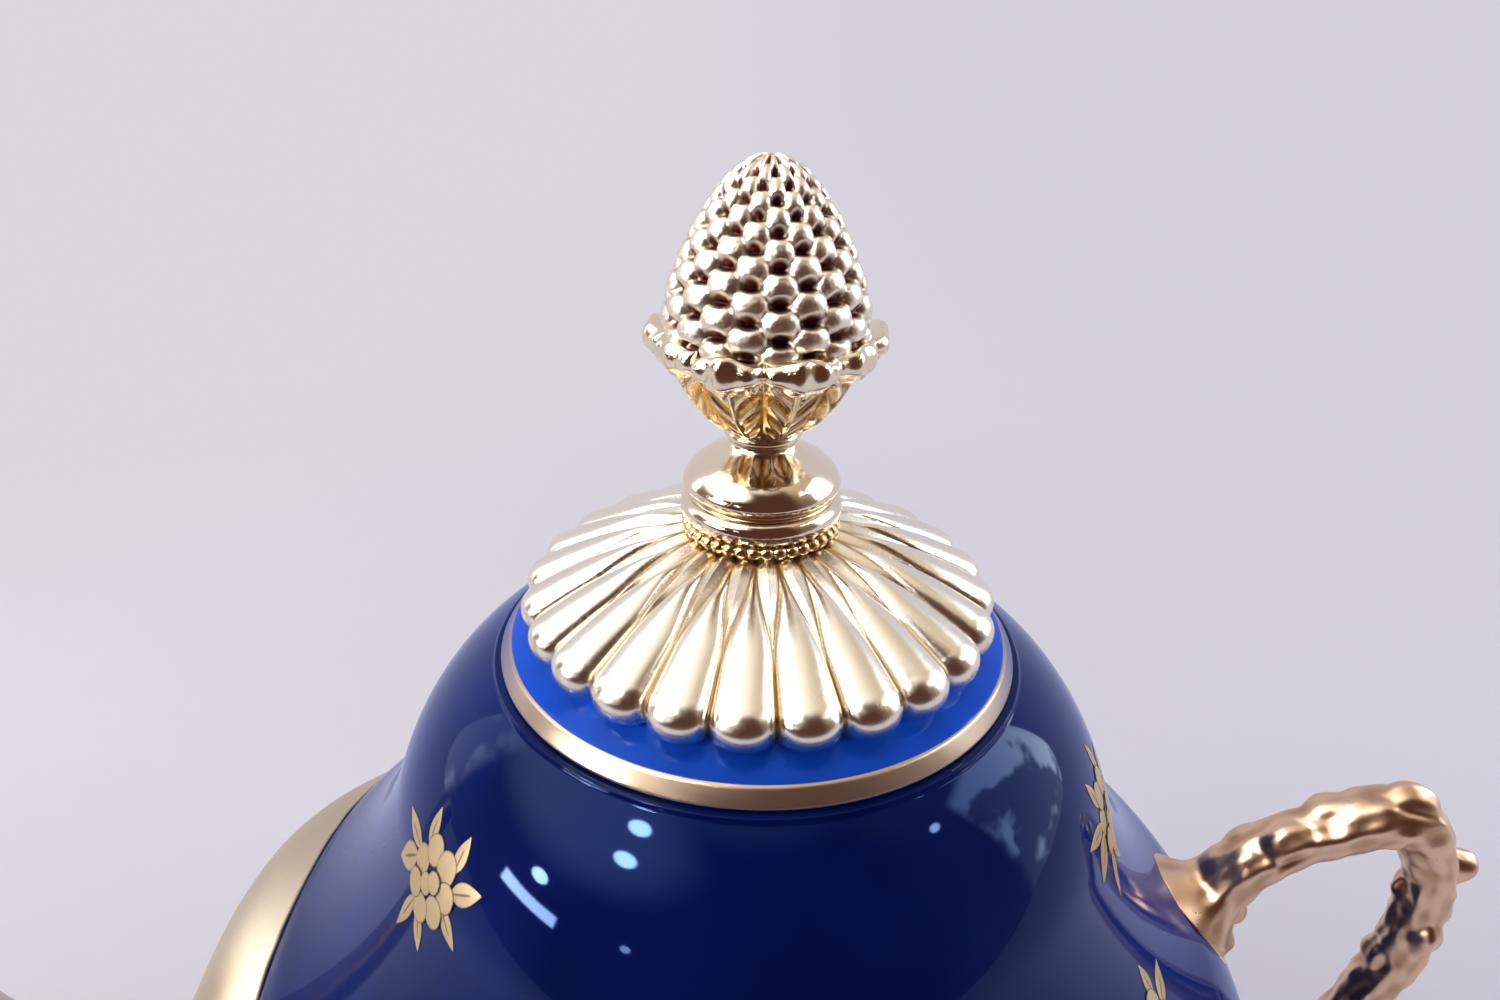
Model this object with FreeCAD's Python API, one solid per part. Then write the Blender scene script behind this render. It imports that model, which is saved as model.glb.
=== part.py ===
"""A cobalt porcelain teapot with gilt metal mounts.

The porcelain pot and its lid are thin-walled turned shells. A hollow cast spout and a cast branch
handle are screwed to the pot from inside, each on a soft gasket. The lid carries a stack of gilt
pieces, a petalled rosette, a beaded ring, a collar, a leaf cup and a pine cone, that one threaded
stud clamps against a nut under the lid. Millimetres, +Z up, spout towards -X, handle towards +X.
"""
import FreeCAD, Part
import math
import os
from collections import namedtuple

# Pot outline, as slopes below the horizontal in degrees and the radii of the arcs between them
mouth_radius = 29.6
seat_width = 2.9
dome_slope = 31.3
dome_radius = 32.4
waist_slope = 71.0
waist_radius = 64.0
shoulder_slope = 41.8
shoulder_radius = 32.0
lower_belly_radius = 68.0
foot_slope = 148.0

# Pot wall and foot
wall = 4.0
base_thickness = 4.5
foot_height = 5.5
foot_ring_width = 5.0
foot_edge = 1.0
drill_length = 16.0

# Lid
lid_gap = 0.2
lid_setback = 0.25
band_height = 2.15
band_taper = 1.2
band_chamfer = 0.35
brim_rise = 1.3
brim_width = 3.3
lid_rise = 9.0
lid_crown = 1.9
lid_wall = 3.5
lid_hub_radius = 7.5
flange_depth = 9.0
flange_wall = 3.5
flange_clearance = 0.6

# Rosette
petals = 24
petal_tip_radius = 3.35
petal_root_radius = 1.3
petal_overhang = 1.65
petal_droop = 8.0
rosette_rise = 15.8
rosette_wall = 1.2
rosette_lift = 0.1
rosette_rim_inset = 3.6
rosette_shoulder = 2.0
hub_radius = 9.6

# Beaded ring and collar
bead_count = 38
bead_radius = 0.8
bead_ring_height = 1.6
collar_radius = 9.7
collar_groove = 0.9
collar_bead_height = 2.75
collar_crown = 2.8
crown_shoulder = 1.9
neck_radius = 3.65
neck_height = 1.2

# Leaf cup and pine cone
cup_ring_radius = 4.4
cup_ring_height = 1.2
cup_ring_round = 0.4
cup_bowl_radius = 10.2
cup_bowl_height = 7.2
cup_belly_radius = 7.35
cup_belly_height = 2.75
cup_rim_radius = 12.4
cup_rim_height = 3.4
cup_rim_edge = 2.4
cup_wall = 1.6
leaf_count = 9
leaf_tip_radius = 1.9
leaf_tip_inset = 0.55
cone_radius = 11.6
cone_height = 20.4
cone_courses = 12
scale_bulge = 0.5
scale_lift = 0.12
cone_sharpness = 1.8
cone_bluntness = 0.62

# Stud, nut and washers under the lid
stud_radius = 2.0
stud_clearance = 0.1
stud_reach = 12.0
stud_tail = 1.5
seal_thickness = 1.2
washer_thickness = 1.0
washer_radius = 6.5
nut_flats = 7.0
nut_sides = 6
nut_height = 3.2

# Spout
spout_wall = 2.4
spout_screw_slopes = (72.0, 119.0)
spout_boss_radius = 4.8
spout_boss_depth = 5.2
strainer_hole_radius = 2.0
strainer_pitch = 6.6
strainer_rings = 2
strainer_slope = 101.0

# Handle
grip_radius = 4.4
handle_slopes = (48.0, 116.0)
pad_length = 7.4
pad_width = 6.2
pad_height = 3.2
pad_round = 2.2
bend_share = 0.45
knot_radius = 3.3
knot_end_radius = 2.6
knot_height = 7.6

# Screws that hold the spout and the handle
gasket = 0.6
screw_radius = 2.0
screw_clearance = 0.3
thread_clearance = 0.05
screw_bite = 6.0
screw_head_radius = 4.0
screw_head_height = 2.4
screw_head_round = 1.4
screw_washer_radius = 5.2
screw_washer_thickness = 0.8
screw_seal_thickness = 1.2

ORIGIN = FreeCAD.Vector(0, 0, 0)
Y_AXIS = FreeCAD.Vector(0, 1, 0)
Z_AXIS = FreeCAD.Vector(0, 0, 1)
FULL_TURN = 360.0
LEVEL = 90.0

# A section of the spout: how far out from the belly and how far above it, the way it faces in
# degrees above the horizontal, and half of its height and width
Station = namedtuple("Station", "out up faces half_height half_width")
spout_stations = (
    Station(-31.0, -7.0, 0.0, 31.0, 56.0),
    Station(-13.0, -8.0, 0.0, 30.0, 50.0),
    Station(0.5, -10.8, 0.0, 28.8, 35.0),
    Station(12.0, -22.4, 0.0, 20.4, 21.0),
    Station(25.0, -33.0, 2.0, 13.2, 14.2),
    Station(41.0, -34.6, 20.0, 11.6, 11.9),
    Station(57.0, -25.5, 46.0, 10.3, 10.6),
    Station(66.0, -3.5, 68.0, 9.1, 9.3),
    Station(68.0, 32.0, 75.0, 8.0, 8.1),
    Station(73.0, 57.8, 68.0, 7.9, 8.0),
)

# A bend of the handle, out from the belly and above it, with the lean of the cut twig on it:
# degrees above the horizontal in the handle's plane, and towards +Y
Bend = namedtuple("Bend", "out up twig_rise twig_lean")
handle_bends = (
    Bend(5.0, 39.2, 100.0, 35.0),
    Bend(18.0, 40.2, 50.0, -20.0),
    Bend(26.0, 26.7, 5.0, 25.0),
    Bend(24.0, 7.7, -10.0, -50.0),
    Bend(16.0, -14.3, -40.0, 40.0),
    Bend(4.6, -34.0, -75.0, -30.0),
)

# The outline's arcs from the mouth down: slope at the start, slope at the end, radius
seat_radius = mouth_radius + seat_width
pot_curves = (
    (dome_slope, waist_slope, dome_radius),
    (waist_slope, shoulder_slope, waist_radius),
    (shoulder_slope, LEVEL, shoulder_radius),
    (LEVEL, foot_slope, lower_belly_radius),
)


def along_arc(start, begin, slope, radius, turn):
    """The point where an arc that leaves start at one slope has turned to another."""
    first, now = math.radians(begin), math.radians(slope)
    return (start[0] + turn * radius * (math.sin(now) - math.sin(first)),
            start[1] + turn * radius * (math.cos(now) - math.cos(first)))


def curve_starts():
    """Where each of the pot's arcs starts, measured from the mouth, and where the last one ends."""
    points = [(seat_radius, 0.0)]
    for begin, end, radius in pot_curves:
        turn = 1 if end > begin else -1
        points.append(along_arc(points[-1], begin, end, radius, turn))
    return points


rim_height = foot_height - curve_starts()[-1][1]
belly_radius = curve_starts()[3][0]
belly_height = rim_height + curve_starts()[3][1]


def pot_point(curve, slope, offset=0.0):
    """The point of one of the pot's arcs at a slope, moved out along the outline's normal."""
    begin, end, radius = pot_curves[curve]
    turn = 1 if end > begin else -1
    across, up = along_arc(curve_starts()[curve], begin, slope, radius, turn)
    angle = math.radians(slope)
    return (across + offset * math.sin(angle), rim_height + up + offset * math.cos(angle))


def pot_arcs(offset=0.0):
    """The pot's arcs from the mouth down, each a start, a middle and an end."""
    arcs = []
    for curve, (begin, end, _) in enumerate(pot_curves):
        arcs.append([pot_point(curve, slope, offset) for slope in (begin, (begin + end) / 2, end)])
    return arcs


def place(across, up):
    """A point of the plane y = 0."""
    return FreeCAD.Vector(across, 0, up)


def turned(start, *steps):
    """A solid turned about the pot's axis; a step is a corner, or a pair of points for an arc."""
    here = place(*start)
    edges = []
    for step in steps + (start,):
        if isinstance(step[0], tuple):
            through, there = place(*step[0]), place(*step[1])
            edges.append(Part.Arc(here, through, there).toShape())
        else:
            there = place(*step)
            edges.append(Part.LineSegment(here, there).toShape())
        here = there
    return Part.Face(Part.Wire(edges)).revolve(ORIGIN, Z_AXIS, FULL_TURN)


def ring(inner, outer, bottom, top):
    """A plain ring or washer on the pot's axis."""
    return turned((inner, bottom), (outer, bottom), (outer, top), (inner, top))


def rod(radius, bottom, top):
    """A plain round bar on the pot's axis."""
    return Part.makeCylinder(radius, top - bottom, FreeCAD.Vector(0, 0, bottom))


def round_axis(solid, count):
    """Copies of a solid, evenly spaced about the pot's axis."""
    copies = []
    for index in range(count):
        copy = solid.copy()
        copy.rotate(ORIGIN, Z_AXIS, index * FULL_TURN / count)
        copies.append(copy)
    return copies


def on_wall(solid, slope):
    """A solid built upwards from the origin, set on the pot's outside where the outline has a slope."""
    across, up = pot_point(2 if slope < LEVEL else 3, slope)
    placed = solid.copy()
    placed.rotate(ORIGIN, Y_AXIS, slope)
    placed.translate(place(across, up))
    return placed


def to_spout_side(solid):
    """A solid turned from the handle's side of the pot to the spout's side."""
    turned_round = solid.copy()
    turned_round.rotate(ORIGIN, Z_AXIS, FULL_TURN / 2)
    return turned_round


# The pot
def pot_block(offset):
    """The pot as a full block, with its outside moved out by an offset."""
    arcs = pot_arcs(offset)
    steps = [(through, end) for _, through, end in arcs]
    first, last = arcs[0][0], arcs[-1][2]
    return turned((0, first[1]), first, *steps, (0, last[1]))


def pot_room():
    """The space inside the pot's wall, below the neck."""
    return pot_block(-wall)


def strainer_holes():
    """The pattern of holes through the pot's wall behind the spout, six to a ring round one."""
    holes = []
    for along in range(-strainer_rings, strainer_rings + 1):
        for row in range(-strainer_rings, strainer_rings + 1):
            if abs(along + row) > strainer_rings:
                continue
            across = strainer_pitch * (along + row / 2)
            over = strainer_pitch * row * math.sqrt(3) / 2
            start = FreeCAD.Vector(over, across, -drill_length / 2)
            hole = Part.makeCylinder(strainer_hole_radius, drill_length, start)
            holes.append(on_wall(hole, strainer_slope))
    return [to_spout_side(hole) for hole in holes]


def pot_body():
    """The porcelain pot, with its foot ring, mouth, strainer and screw holes."""
    outer = pot_arcs()
    inner = pot_arcs(-wall)
    foot_radius = outer[-1][2][0]
    floor = inner[-1][2][1]
    ring_inside = foot_radius - foot_ring_width
    mouth_bottom = inner[0][0][1]
    down = [(through, end) for _, through, end in outer]
    back = [(through, start) for start, through, _ in reversed(inner)]
    shell = turned(
        (mouth_radius, rim_height), (seat_radius, rim_height), *down,
        (foot_radius, foot_edge), (foot_radius - foot_edge, 0), (ring_inside + foot_edge, 0),
        (ring_inside, foot_edge), (ring_inside, floor - base_thickness), (0, floor - base_thickness),
        (0, floor), inner[-1][2], *back, (mouth_radius, mouth_bottom))
    drill = rod(screw_radius + screw_clearance, -drill_length / 2, drill_length / 2)
    holes = [on_wall(drill, slope) for slope in handle_slopes]
    holes += [to_spout_side(on_wall(drill, slope)) for slope in spout_screw_slopes]
    return shell.cut(holes + strainer_holes())


# Screws, washers and seals on the pot's wall, built along the screw with the wall's outside at 0
def screw(bite):
    """A dome-headed screw that goes out through the wall into the piece it holds."""
    under_head = -(wall + screw_seal_thickness + screw_washer_thickness)
    head = rod(screw_head_radius, under_head - screw_head_height, under_head)
    head = head.makeFillet(screw_head_round, [head.Edges[2]])
    return head.fuse(rod(screw_radius, under_head, bite)).removeSplitter()


def screw_washer():
    """The flat metal washer under a screw's head."""
    seat = -(wall + screw_seal_thickness)
    return ring(screw_radius + screw_clearance, screw_washer_radius, seat - screw_washer_thickness, seat)


def screw_seal():
    """The soft seal between a washer and the wall, before it takes the wall's shape."""
    seat = -(wall + screw_seal_thickness)
    return ring(screw_radius + thread_clearance, screw_washer_radius, seat, -wall / 2)


def wall_set(solid, slopes):
    """A solid set at each of a piece's screw places."""
    return [on_wall(solid, slope) for slope in slopes]


def seals(slopes):
    """The soft seals of a piece, each pressed against the inside of the wall."""
    room = pot_room()
    return [seal.common(room) for seal in wall_set(screw_seal(), slopes)]


# The spout, built towards +X and then turned round
def spout_section(station, inset):
    """The oval outline of one station of the spout, which starts and ends underneath."""
    tall, wide = station.half_height - inset, station.half_width - inset
    oval = Part.Ellipse(ORIGIN, wide, min(tall, wide))
    outline = Part.Wire(Part.ArcOfEllipse(oval, -math.pi / 2, math.pi * 3 / 2).toShape())
    outline.rotate(ORIGIN, Z_AXIS, LEVEL)
    outline.rotate(ORIGIN, Y_AXIS, LEVEL - station.faces)
    outline.translate(place(belly_radius + station.out, belly_height + station.up))
    return outline


def station_between(before, start, end, after, share):
    """A station part of the way from start to end, on a smooth curve through all four."""
    values = []
    for a, b, c, d in zip(before, start, end, after):
        bend = (2 * a - 5 * b + 4 * c - d) * share ** 2 + (3 * b - a - 3 * c + d) * share ** 3
        values.append((2 * b + (c - a) * share + bend) / 2)
    return Station(*values)


def all_stations():
    """The spout's stations, with one more halfway between each two of them."""
    lead = Station(*[2 * near - far for near, far in zip(spout_stations[0], spout_stations[1])])
    trail = Station(*[2 * near - far for near, far in zip(spout_stations[-1], spout_stations[-2])])
    chain = (lead,) + spout_stations + (trail,)
    stations = []
    for four in zip(chain, chain[1:], chain[2:], chain[3:]):
        stations += [four[1], station_between(*four, 0.5)]
    return stations + [spout_stations[-1]]


def spout_loft(inset):
    """The spout's outside, or its bore where the inset is its wall."""
    return Part.makeLoft([spout_section(station, inset) for station in all_stations()], True)


def spout_casting():
    """The hollow spout with its screw bosses, still running into the pot."""
    outside = spout_loft(0.0)
    boss = rod(spout_boss_radius, -wall, spout_boss_depth + gasket)
    bosses = [on_wall(boss, slope).common(outside) for slope in spout_screw_slopes]
    drill = rod(screw_radius + thread_clearance, -wall, spout_boss_depth)
    return outside.cut(spout_loft(spout_wall)).fuse(bosses).cut(wall_set(drill, spout_screw_slopes))


# The handle
def branch_path():
    """The handle's centre line: straight runs joined by arcs as large as the runs allow."""
    roots = []
    for slope in handle_slopes:
        across, up = pot_point(2 if slope < LEVEL else 3, slope, -wall / 2)
        roots.append(place(across, up))
    bends = [place(belly_radius + bend.out, belly_height + bend.up) for bend in handle_bends]
    points = [roots[0]] + bends + [roots[1]]
    edges = []
    here = points[0]
    for before, corner, after in zip(points, points[1:], points[2:]):
        back, on = (before - corner).normalize(), (after - corner).normalize()
        reach = bend_share * min(before.distanceToPoint(corner), after.distanceToPoint(corner))
        start, end = corner + back * reach, corner + on * reach
        half = back.getAngle(on) / 2
        centre = corner + (back + on).normalize() * (reach / math.cos(half))
        middle = centre + (corner - centre).normalize() * (reach * math.tan(half))
        edges.append(Part.LineSegment(here, start).toShape())
        edges.append(Part.Arc(start, middle, end).toShape())
        here = end
    edges.append(Part.LineSegment(here, points[-1]).toShape())
    return Part.Wire(edges), bends


def twig(corner, bend):
    """The stump of a side twig that was cut short at a bend of the branch."""
    rise, lean = math.radians(bend.twig_rise), math.radians(bend.twig_lean)
    way = FreeCAD.Vector(math.cos(rise) * math.cos(lean), math.sin(lean), math.sin(rise) * math.cos(lean))
    return Part.makeCone(knot_radius, knot_end_radius, knot_height, corner, way)


def handle_casting():
    """The branch handle with its pads and twig stumps, still running into the pot."""
    path, bends = branch_path()
    start = path.Edges[0]
    section = Part.Wire(Part.Circle(start.valueAt(0), start.tangentAt(0), grip_radius).toShape())
    branch = path.makePipeShell([section], True, False)
    oval = Part.Ellipse(FreeCAD.Vector(0, 0, -wall / 2), pad_length, pad_width).toShape()
    pad = Part.Face(Part.Wire(oval)).extrude(Z_AXIS * (wall / 2 + gasket + pad_height))
    top_edge = max(pad.Edges, key=lambda edge: edge.CenterOfMass.z)
    pad = pad.makeFillet(pad_round, [top_edge])
    twigs = [twig(corner, bend) for corner, bend in zip(bends, handle_bends)]
    drill = rod(screw_radius + thread_clearance, -wall, screw_bite + gasket)
    return branch.fuse(wall_set(pad, handle_slopes) + twigs).cut(wall_set(drill, handle_slopes))


def seated(casting):
    """A casting cut to the pot's outside, and the gasket that fills the gap between them."""
    beyond = pot_block(gasket)
    return casting.cut(beyond), casting.common(beyond).cut(pot_block(0.0))


# The lid
lid_bottom = rim_height + lid_gap
lid_radius = seat_radius - lid_setback
brim_radius = lid_radius - band_taper - brim_width
brim_height = lid_bottom + band_height + brim_rise
lid_top = lid_bottom + lid_rise
stud_hole = stud_radius + stud_clearance


def lid_crown_steps(raised):
    """The lid's upper outline from its hub out to its edge, raised by an amount."""
    middle = ((lid_hub_radius + brim_radius) / 2, (lid_top + brim_height) / 2 + lid_crown + raised)
    return [(lid_hub_radius, lid_top + raised), (middle, (brim_radius, brim_height + raised)),
            (lid_radius - band_taper, lid_bottom + band_height + raised)]


def lid_shell():
    """The porcelain lid, with its edge band and the flange that keeps it in the mouth."""
    flange_outer = mouth_radius - flange_clearance
    flange_inner = flange_outer - flange_wall
    under = lid_top - lid_wall
    under_middle = ((lid_hub_radius + flange_inner) / 2, (lid_top + brim_height) / 2 + lid_crown - lid_wall)
    flange_bottom = lid_bottom - flange_depth
    return turned(
        (stud_hole, lid_top), *lid_crown_steps(0.0), (lid_radius, lid_bottom + band_chamfer),
        (lid_radius - band_chamfer, lid_bottom), (flange_outer, lid_bottom),
        (flange_outer, flange_bottom + foot_edge), (flange_outer - foot_edge, flange_bottom),
        (flange_inner, flange_bottom), (flange_inner, brim_height - lid_wall),
        (under_middle, (lid_hub_radius, under)), (stud_hole, under))


# The rosette
rosette_seat = brim_height + rosette_lift
hub_top = lid_bottom + rosette_rise


def petal():
    """One finger-shaped petal, from the hub out to its drooping round tip."""
    tip = place(brim_radius + petal_overhang - petal_tip_radius, rosette_seat + petal_tip_radius)
    root = place(hub_radius + petal_root_radius, tip.z + petal_droop)
    length = root.distanceToPoint(tip)
    finger = Part.makeCone(petal_root_radius, petal_tip_radius, length, root, tip - root)
    return finger.fuse(Part.makeSphere(petal_tip_radius, tip))


def rosette():
    """The petalled cap: a thin dome with petals standing on it, hollow over the lid."""
    rim = brim_radius + petal_overhang - rosette_rim_inset
    shoulder = rosette_seat + rosette_shoulder
    middle = ((rim + hub_radius) / 2, (shoulder + hub_top) / 2 + rosette_wall / 2)
    dome = turned((0, lid_bottom), (rim, lid_bottom), (rim, shoulder), (middle, (hub_radius, hub_top)),
                  (0, hub_top))
    inside = rim - rosette_wall
    inner_middle = (middle[0] - rosette_wall / 2, middle[1] - rosette_wall)
    inner_top = hub_top - rosette_wall
    hollow = turned((0, lid_bottom), (inside, lid_bottom), (inside, shoulder - rosette_wall),
                    (inner_middle, (hub_radius - rosette_wall, inner_top)), (0, inner_top))
    lid_block = turned((0, lid_bottom - flange_depth), (lid_radius, lid_bottom - flange_depth),
                       *reversed_crown(), (0, lid_top + rosette_lift))
    cap = dome.fuse(round_axis(petal(), petals))
    return cap.cut([hollow, lid_block, rod(stud_hole, lid_bottom, hub_top + rosette_wall)])


def reversed_crown():
    """The lid's raised upper outline from its edge in to its hub."""
    hub, (through, brim), edge = lid_crown_steps(rosette_lift)
    return [(lid_radius, edge[1]), edge, brim, (through, hub)]


# The finial stack
ring_top = hub_top + bead_ring_height
collar_top_bead = ring_top + collar_bead_height + collar_groove
crown_bottom = collar_top_bead + collar_bead_height - collar_groove / 2
crown_top = crown_bottom + collar_crown
cup_bottom = crown_top + neck_height


def beaded_ring():
    """The ring of small round beads between the rosette and the collar."""
    centre = hub_radius - bead_radius
    bead = Part.makeSphere(bead_radius, place(centre, hub_top + bead_ring_height / 2))
    return ring(stud_hole, centre, hub_top, ring_top).fuse(round_axis(bead, bead_count))


def collar():
    """The turned collar: two round mouldings, a crown and a narrow neck."""
    low = collar_radius - collar_groove / 2
    waist = collar_radius - collar_groove
    high = collar_radius - collar_groove / 2
    crown_middle = ((waist + neck_radius) / 2 + collar_crown / 2, crown_bottom + crown_shoulder)
    low_top = ring_top + collar_bead_height
    return turned(
        (stud_hole, ring_top), (low, ring_top),
        ((collar_radius, (ring_top + low_top) / 2), (low, low_top)), (waist, low_top + collar_groove / 2),
        (waist, collar_top_bead),
        ((high, (collar_top_bead + crown_bottom) / 2), (waist, crown_bottom)),
        (crown_middle, (neck_radius, crown_top)), (neck_radius, cup_bottom), (stud_hole, cup_bottom))


bowl_bottom = cup_bottom + cup_ring_height
bowl_top = bowl_bottom + cup_bowl_height
cup_top = bowl_top + cup_rim_height
cup_floor = bowl_bottom + 2 * cup_wall
cup_mouth = cup_rim_radius - cup_wall
cup_floor_radius = cup_ring_radius + cup_wall / 2


def leaf_cup():
    """The cup of leaves that holds the pine cone, with curled leaf tips round its rim."""
    neck = cup_ring_radius - cup_ring_round
    belly = (cup_belly_radius, bowl_bottom + cup_belly_height)
    cup = turned(
        (stud_hole, cup_bottom), (neck, cup_bottom),
        ((cup_ring_radius, cup_bottom + cup_ring_height / 2), (neck, bowl_bottom)),
        (belly, (cup_bowl_radius, bowl_top)), (cup_rim_radius, bowl_top + cup_rim_edge),
        (cup_rim_radius - cup_wall / 2, cup_top), (cup_mouth, cup_top), (cup_floor_radius, cup_floor),
        (stud_hole, cup_floor))
    tip_centre = place(cup_rim_radius - leaf_tip_inset, cup_top - leaf_tip_radius)
    tip = Part.makeSphere(leaf_tip_radius, tip_centre)
    plug = turned((0, cup_floor), (cup_floor_radius, cup_floor), (cup_mouth, cup_top),
                  (cup_mouth, cup_top + leaf_tip_radius), (0, cup_top + leaf_tip_radius))
    return cup.fuse(round_axis(tip, leaf_count)).cut(plug)


def pine_cone():
    """The pine cone: rounded courses of scales that close to a blunt tip, and a plug in the cup."""
    base = cup_floor + thread_clearance
    steps = [(cup_floor_radius - stud_clearance, base), (cup_mouth - stud_clearance, cup_top)]
    course = cone_height / cone_courses
    radii = []
    for index in range(cone_courses + 1):
        share = index / cone_courses
        radii.append(cone_radius * (1 - share ** cone_sharpness) ** cone_bluntness)
    start = cup_top + thread_clearance + scale_lift
    steps.append((radii[0], start))
    for index in range(cone_courses - 1):
        low = (radii[index], start + index * course)
        high = (radii[index + 1], low[1] + course)
        run = math.hypot(high[0] - low[0], course)
        middle = ((low[0] + high[0]) / 2 + scale_bulge * course / run,
                  (low[1] + high[1]) / 2 + scale_bulge * (low[0] - high[0]) / run)
        steps.append((middle, high))
    cap_edge = radii[-2]
    cap_radius = (cap_edge ** 2 + course ** 2) / (2 * course)
    cap_centre = start + cone_height - cap_radius
    half_angle = math.asin(cap_edge / cap_radius) / 2
    steps.append(((cap_radius * math.sin(half_angle), cap_centre + cap_radius * math.cos(half_angle)),
                  (0, start + cone_height)))
    cone = turned((0, base), *steps)
    return cone.cut(rod(stud_radius + thread_clearance, base - cup_wall, cup_floor + stud_reach))


# The clamp under the lid
seal_bottom = lid_top - lid_wall - seal_thickness
washer_bottom = seal_bottom - washer_thickness
nut_bottom = washer_bottom - nut_height


def nut():
    """The hexagon nut on the stud's lower end."""
    corner_radius = nut_flats / 2 / math.cos(math.pi / nut_sides)
    corners = []
    for index in range(nut_sides + 1):
        angle = math.radians(index * FULL_TURN / nut_sides)
        across, over = corner_radius * math.cos(angle), corner_radius * math.sin(angle)
        corners.append(FreeCAD.Vector(across, over, nut_bottom))
    prism = Part.Face(Part.makePolygon(corners)).extrude(Z_AXIS * nut_height)
    return prism.cut(rod(stud_radius + thread_clearance, nut_bottom - nut_height, washer_bottom))


spout_piece, spout_gasket = [to_spout_side(solid) for solid in seated(spout_casting())]
handle_piece, handle_gaskets = seated(handle_casting())


def on_spout_side(solids):
    """Fittings of the spout as one group."""
    return Part.makeCompound([to_spout_side(solid) for solid in solids])


pieces = {
    "pot_body": pot_body(),
    "spout": spout_piece,
    "spout_gasket": spout_gasket,
    "spout_screws": on_spout_side(wall_set(screw(spout_boss_depth - gasket), spout_screw_slopes)),
    "spout_washers": on_spout_side(wall_set(screw_washer(), spout_screw_slopes)),
    "spout_seals": on_spout_side(seals(spout_screw_slopes)),
    "handle": handle_piece,
    "handle_gaskets": handle_gaskets,
    "handle_screws": Part.makeCompound(wall_set(screw(screw_bite), handle_slopes)),
    "handle_washers": Part.makeCompound(wall_set(screw_washer(), handle_slopes)),
    "handle_seals": Part.makeCompound(seals(handle_slopes)),
    "lid_shell": lid_shell(),
    "rosette": rosette(),
    "beaded_ring": beaded_ring(),
    "collar": collar(),
    "leaf_cup": leaf_cup(),
    "pine_cone": pine_cone(),
    "finial_stud": rod(stud_radius, nut_bottom - stud_tail, cup_floor + stud_reach - stud_tail),
    "lid_seal": ring(stud_hole, washer_radius, seal_bottom, lid_top - lid_wall),
    "lid_washer": ring(stud_hole, washer_radius, washer_bottom, seal_bottom),
    "lid_nut": nut(),
}

# The frame's origin is under the middle of the whole object, so the pot's axis stands to one side of it
reach = Part.makeCompound(list(pieces.values())).optimalBoundingBox()
axis_shift = place(-(reach.XMin + reach.XMax) / 2, 0)
os.makedirs("parts", exist_ok=True)
for name, shape in pieces.items():
    shape.translate(axis_shift)
    shape.exportStep("parts/" + name + ".step")
    print(name, len(shape.Solids), round(shape.Volume), shape.isValid())
print("pot axis at x", round(axis_shift.x, 2), "rim", round(rim_height, 2), "belly", round(belly_radius, 2))
print("size", round(reach.XLength, 1), round(reach.YLength, 1), round(reach.ZLength, 1))
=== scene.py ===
"""The visible surfaces of a cobalt porcelain teapot with gilt mounts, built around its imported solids.

Lengths in the classes are millimetres from the pot's axis and the table, or from the underside of the
lid's edge on the lid's pieces. An azimuth is measured from the front, -Y, towards the handle, +X.
"""
import logging
from dataclasses import dataclass
from enum import Enum
from typing import Dict, Mapping, Optional, Sequence, Tuple, Union

import bpy
import numpy as np
from mathutils import Matrix, Vector


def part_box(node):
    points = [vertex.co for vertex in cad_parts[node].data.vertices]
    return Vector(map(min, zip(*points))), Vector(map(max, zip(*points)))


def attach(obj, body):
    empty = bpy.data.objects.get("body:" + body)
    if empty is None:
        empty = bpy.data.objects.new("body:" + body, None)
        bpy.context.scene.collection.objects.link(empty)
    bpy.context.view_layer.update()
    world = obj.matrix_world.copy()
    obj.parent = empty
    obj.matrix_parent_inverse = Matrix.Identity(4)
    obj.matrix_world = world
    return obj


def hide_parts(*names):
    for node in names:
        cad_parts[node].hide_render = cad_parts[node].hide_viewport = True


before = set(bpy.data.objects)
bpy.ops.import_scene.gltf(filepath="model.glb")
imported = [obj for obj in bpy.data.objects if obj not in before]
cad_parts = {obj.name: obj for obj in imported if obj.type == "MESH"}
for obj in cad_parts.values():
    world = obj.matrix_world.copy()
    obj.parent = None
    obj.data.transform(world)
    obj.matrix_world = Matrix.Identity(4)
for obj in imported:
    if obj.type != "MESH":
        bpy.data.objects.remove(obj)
log = logging.getLogger("teapot")

MM = 0.001
TURN = 2.0 * np.pi
QUARTER = np.pi / 2.0
NONE = np.zeros((1, 1))
COLOUR_PARTS = 4
Colour = Tuple[float, float, float]
Pair = Tuple[float, float]
Triple = Tuple[float, float, float]


class Body(Enum):
    """The two bodies that the lid's lift moves apart."""

    POT = "pot"
    LID = "lid"


class Slot(Enum):
    """The record's material slots."""

    PORCELAIN = "cobalt_porcelain"
    GILT = "gilt_metal"


class Mark(Enum):
    """Named values that a surface carries for its finish."""

    INSIDE = "inside"
    BARE = "bare"
    RING = "ring"
    BAND = "band"
    HOLLOW = "hollow"
    EDGE = "edge"


class Ray(Enum):
    """The kinds of ray that the floor and the world tell apart."""

    CAMERA = "Is Camera Ray"
    GLOSSY = "Is Glossy Ray"
    THROUGH = "Is Transmission Ray"


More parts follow.
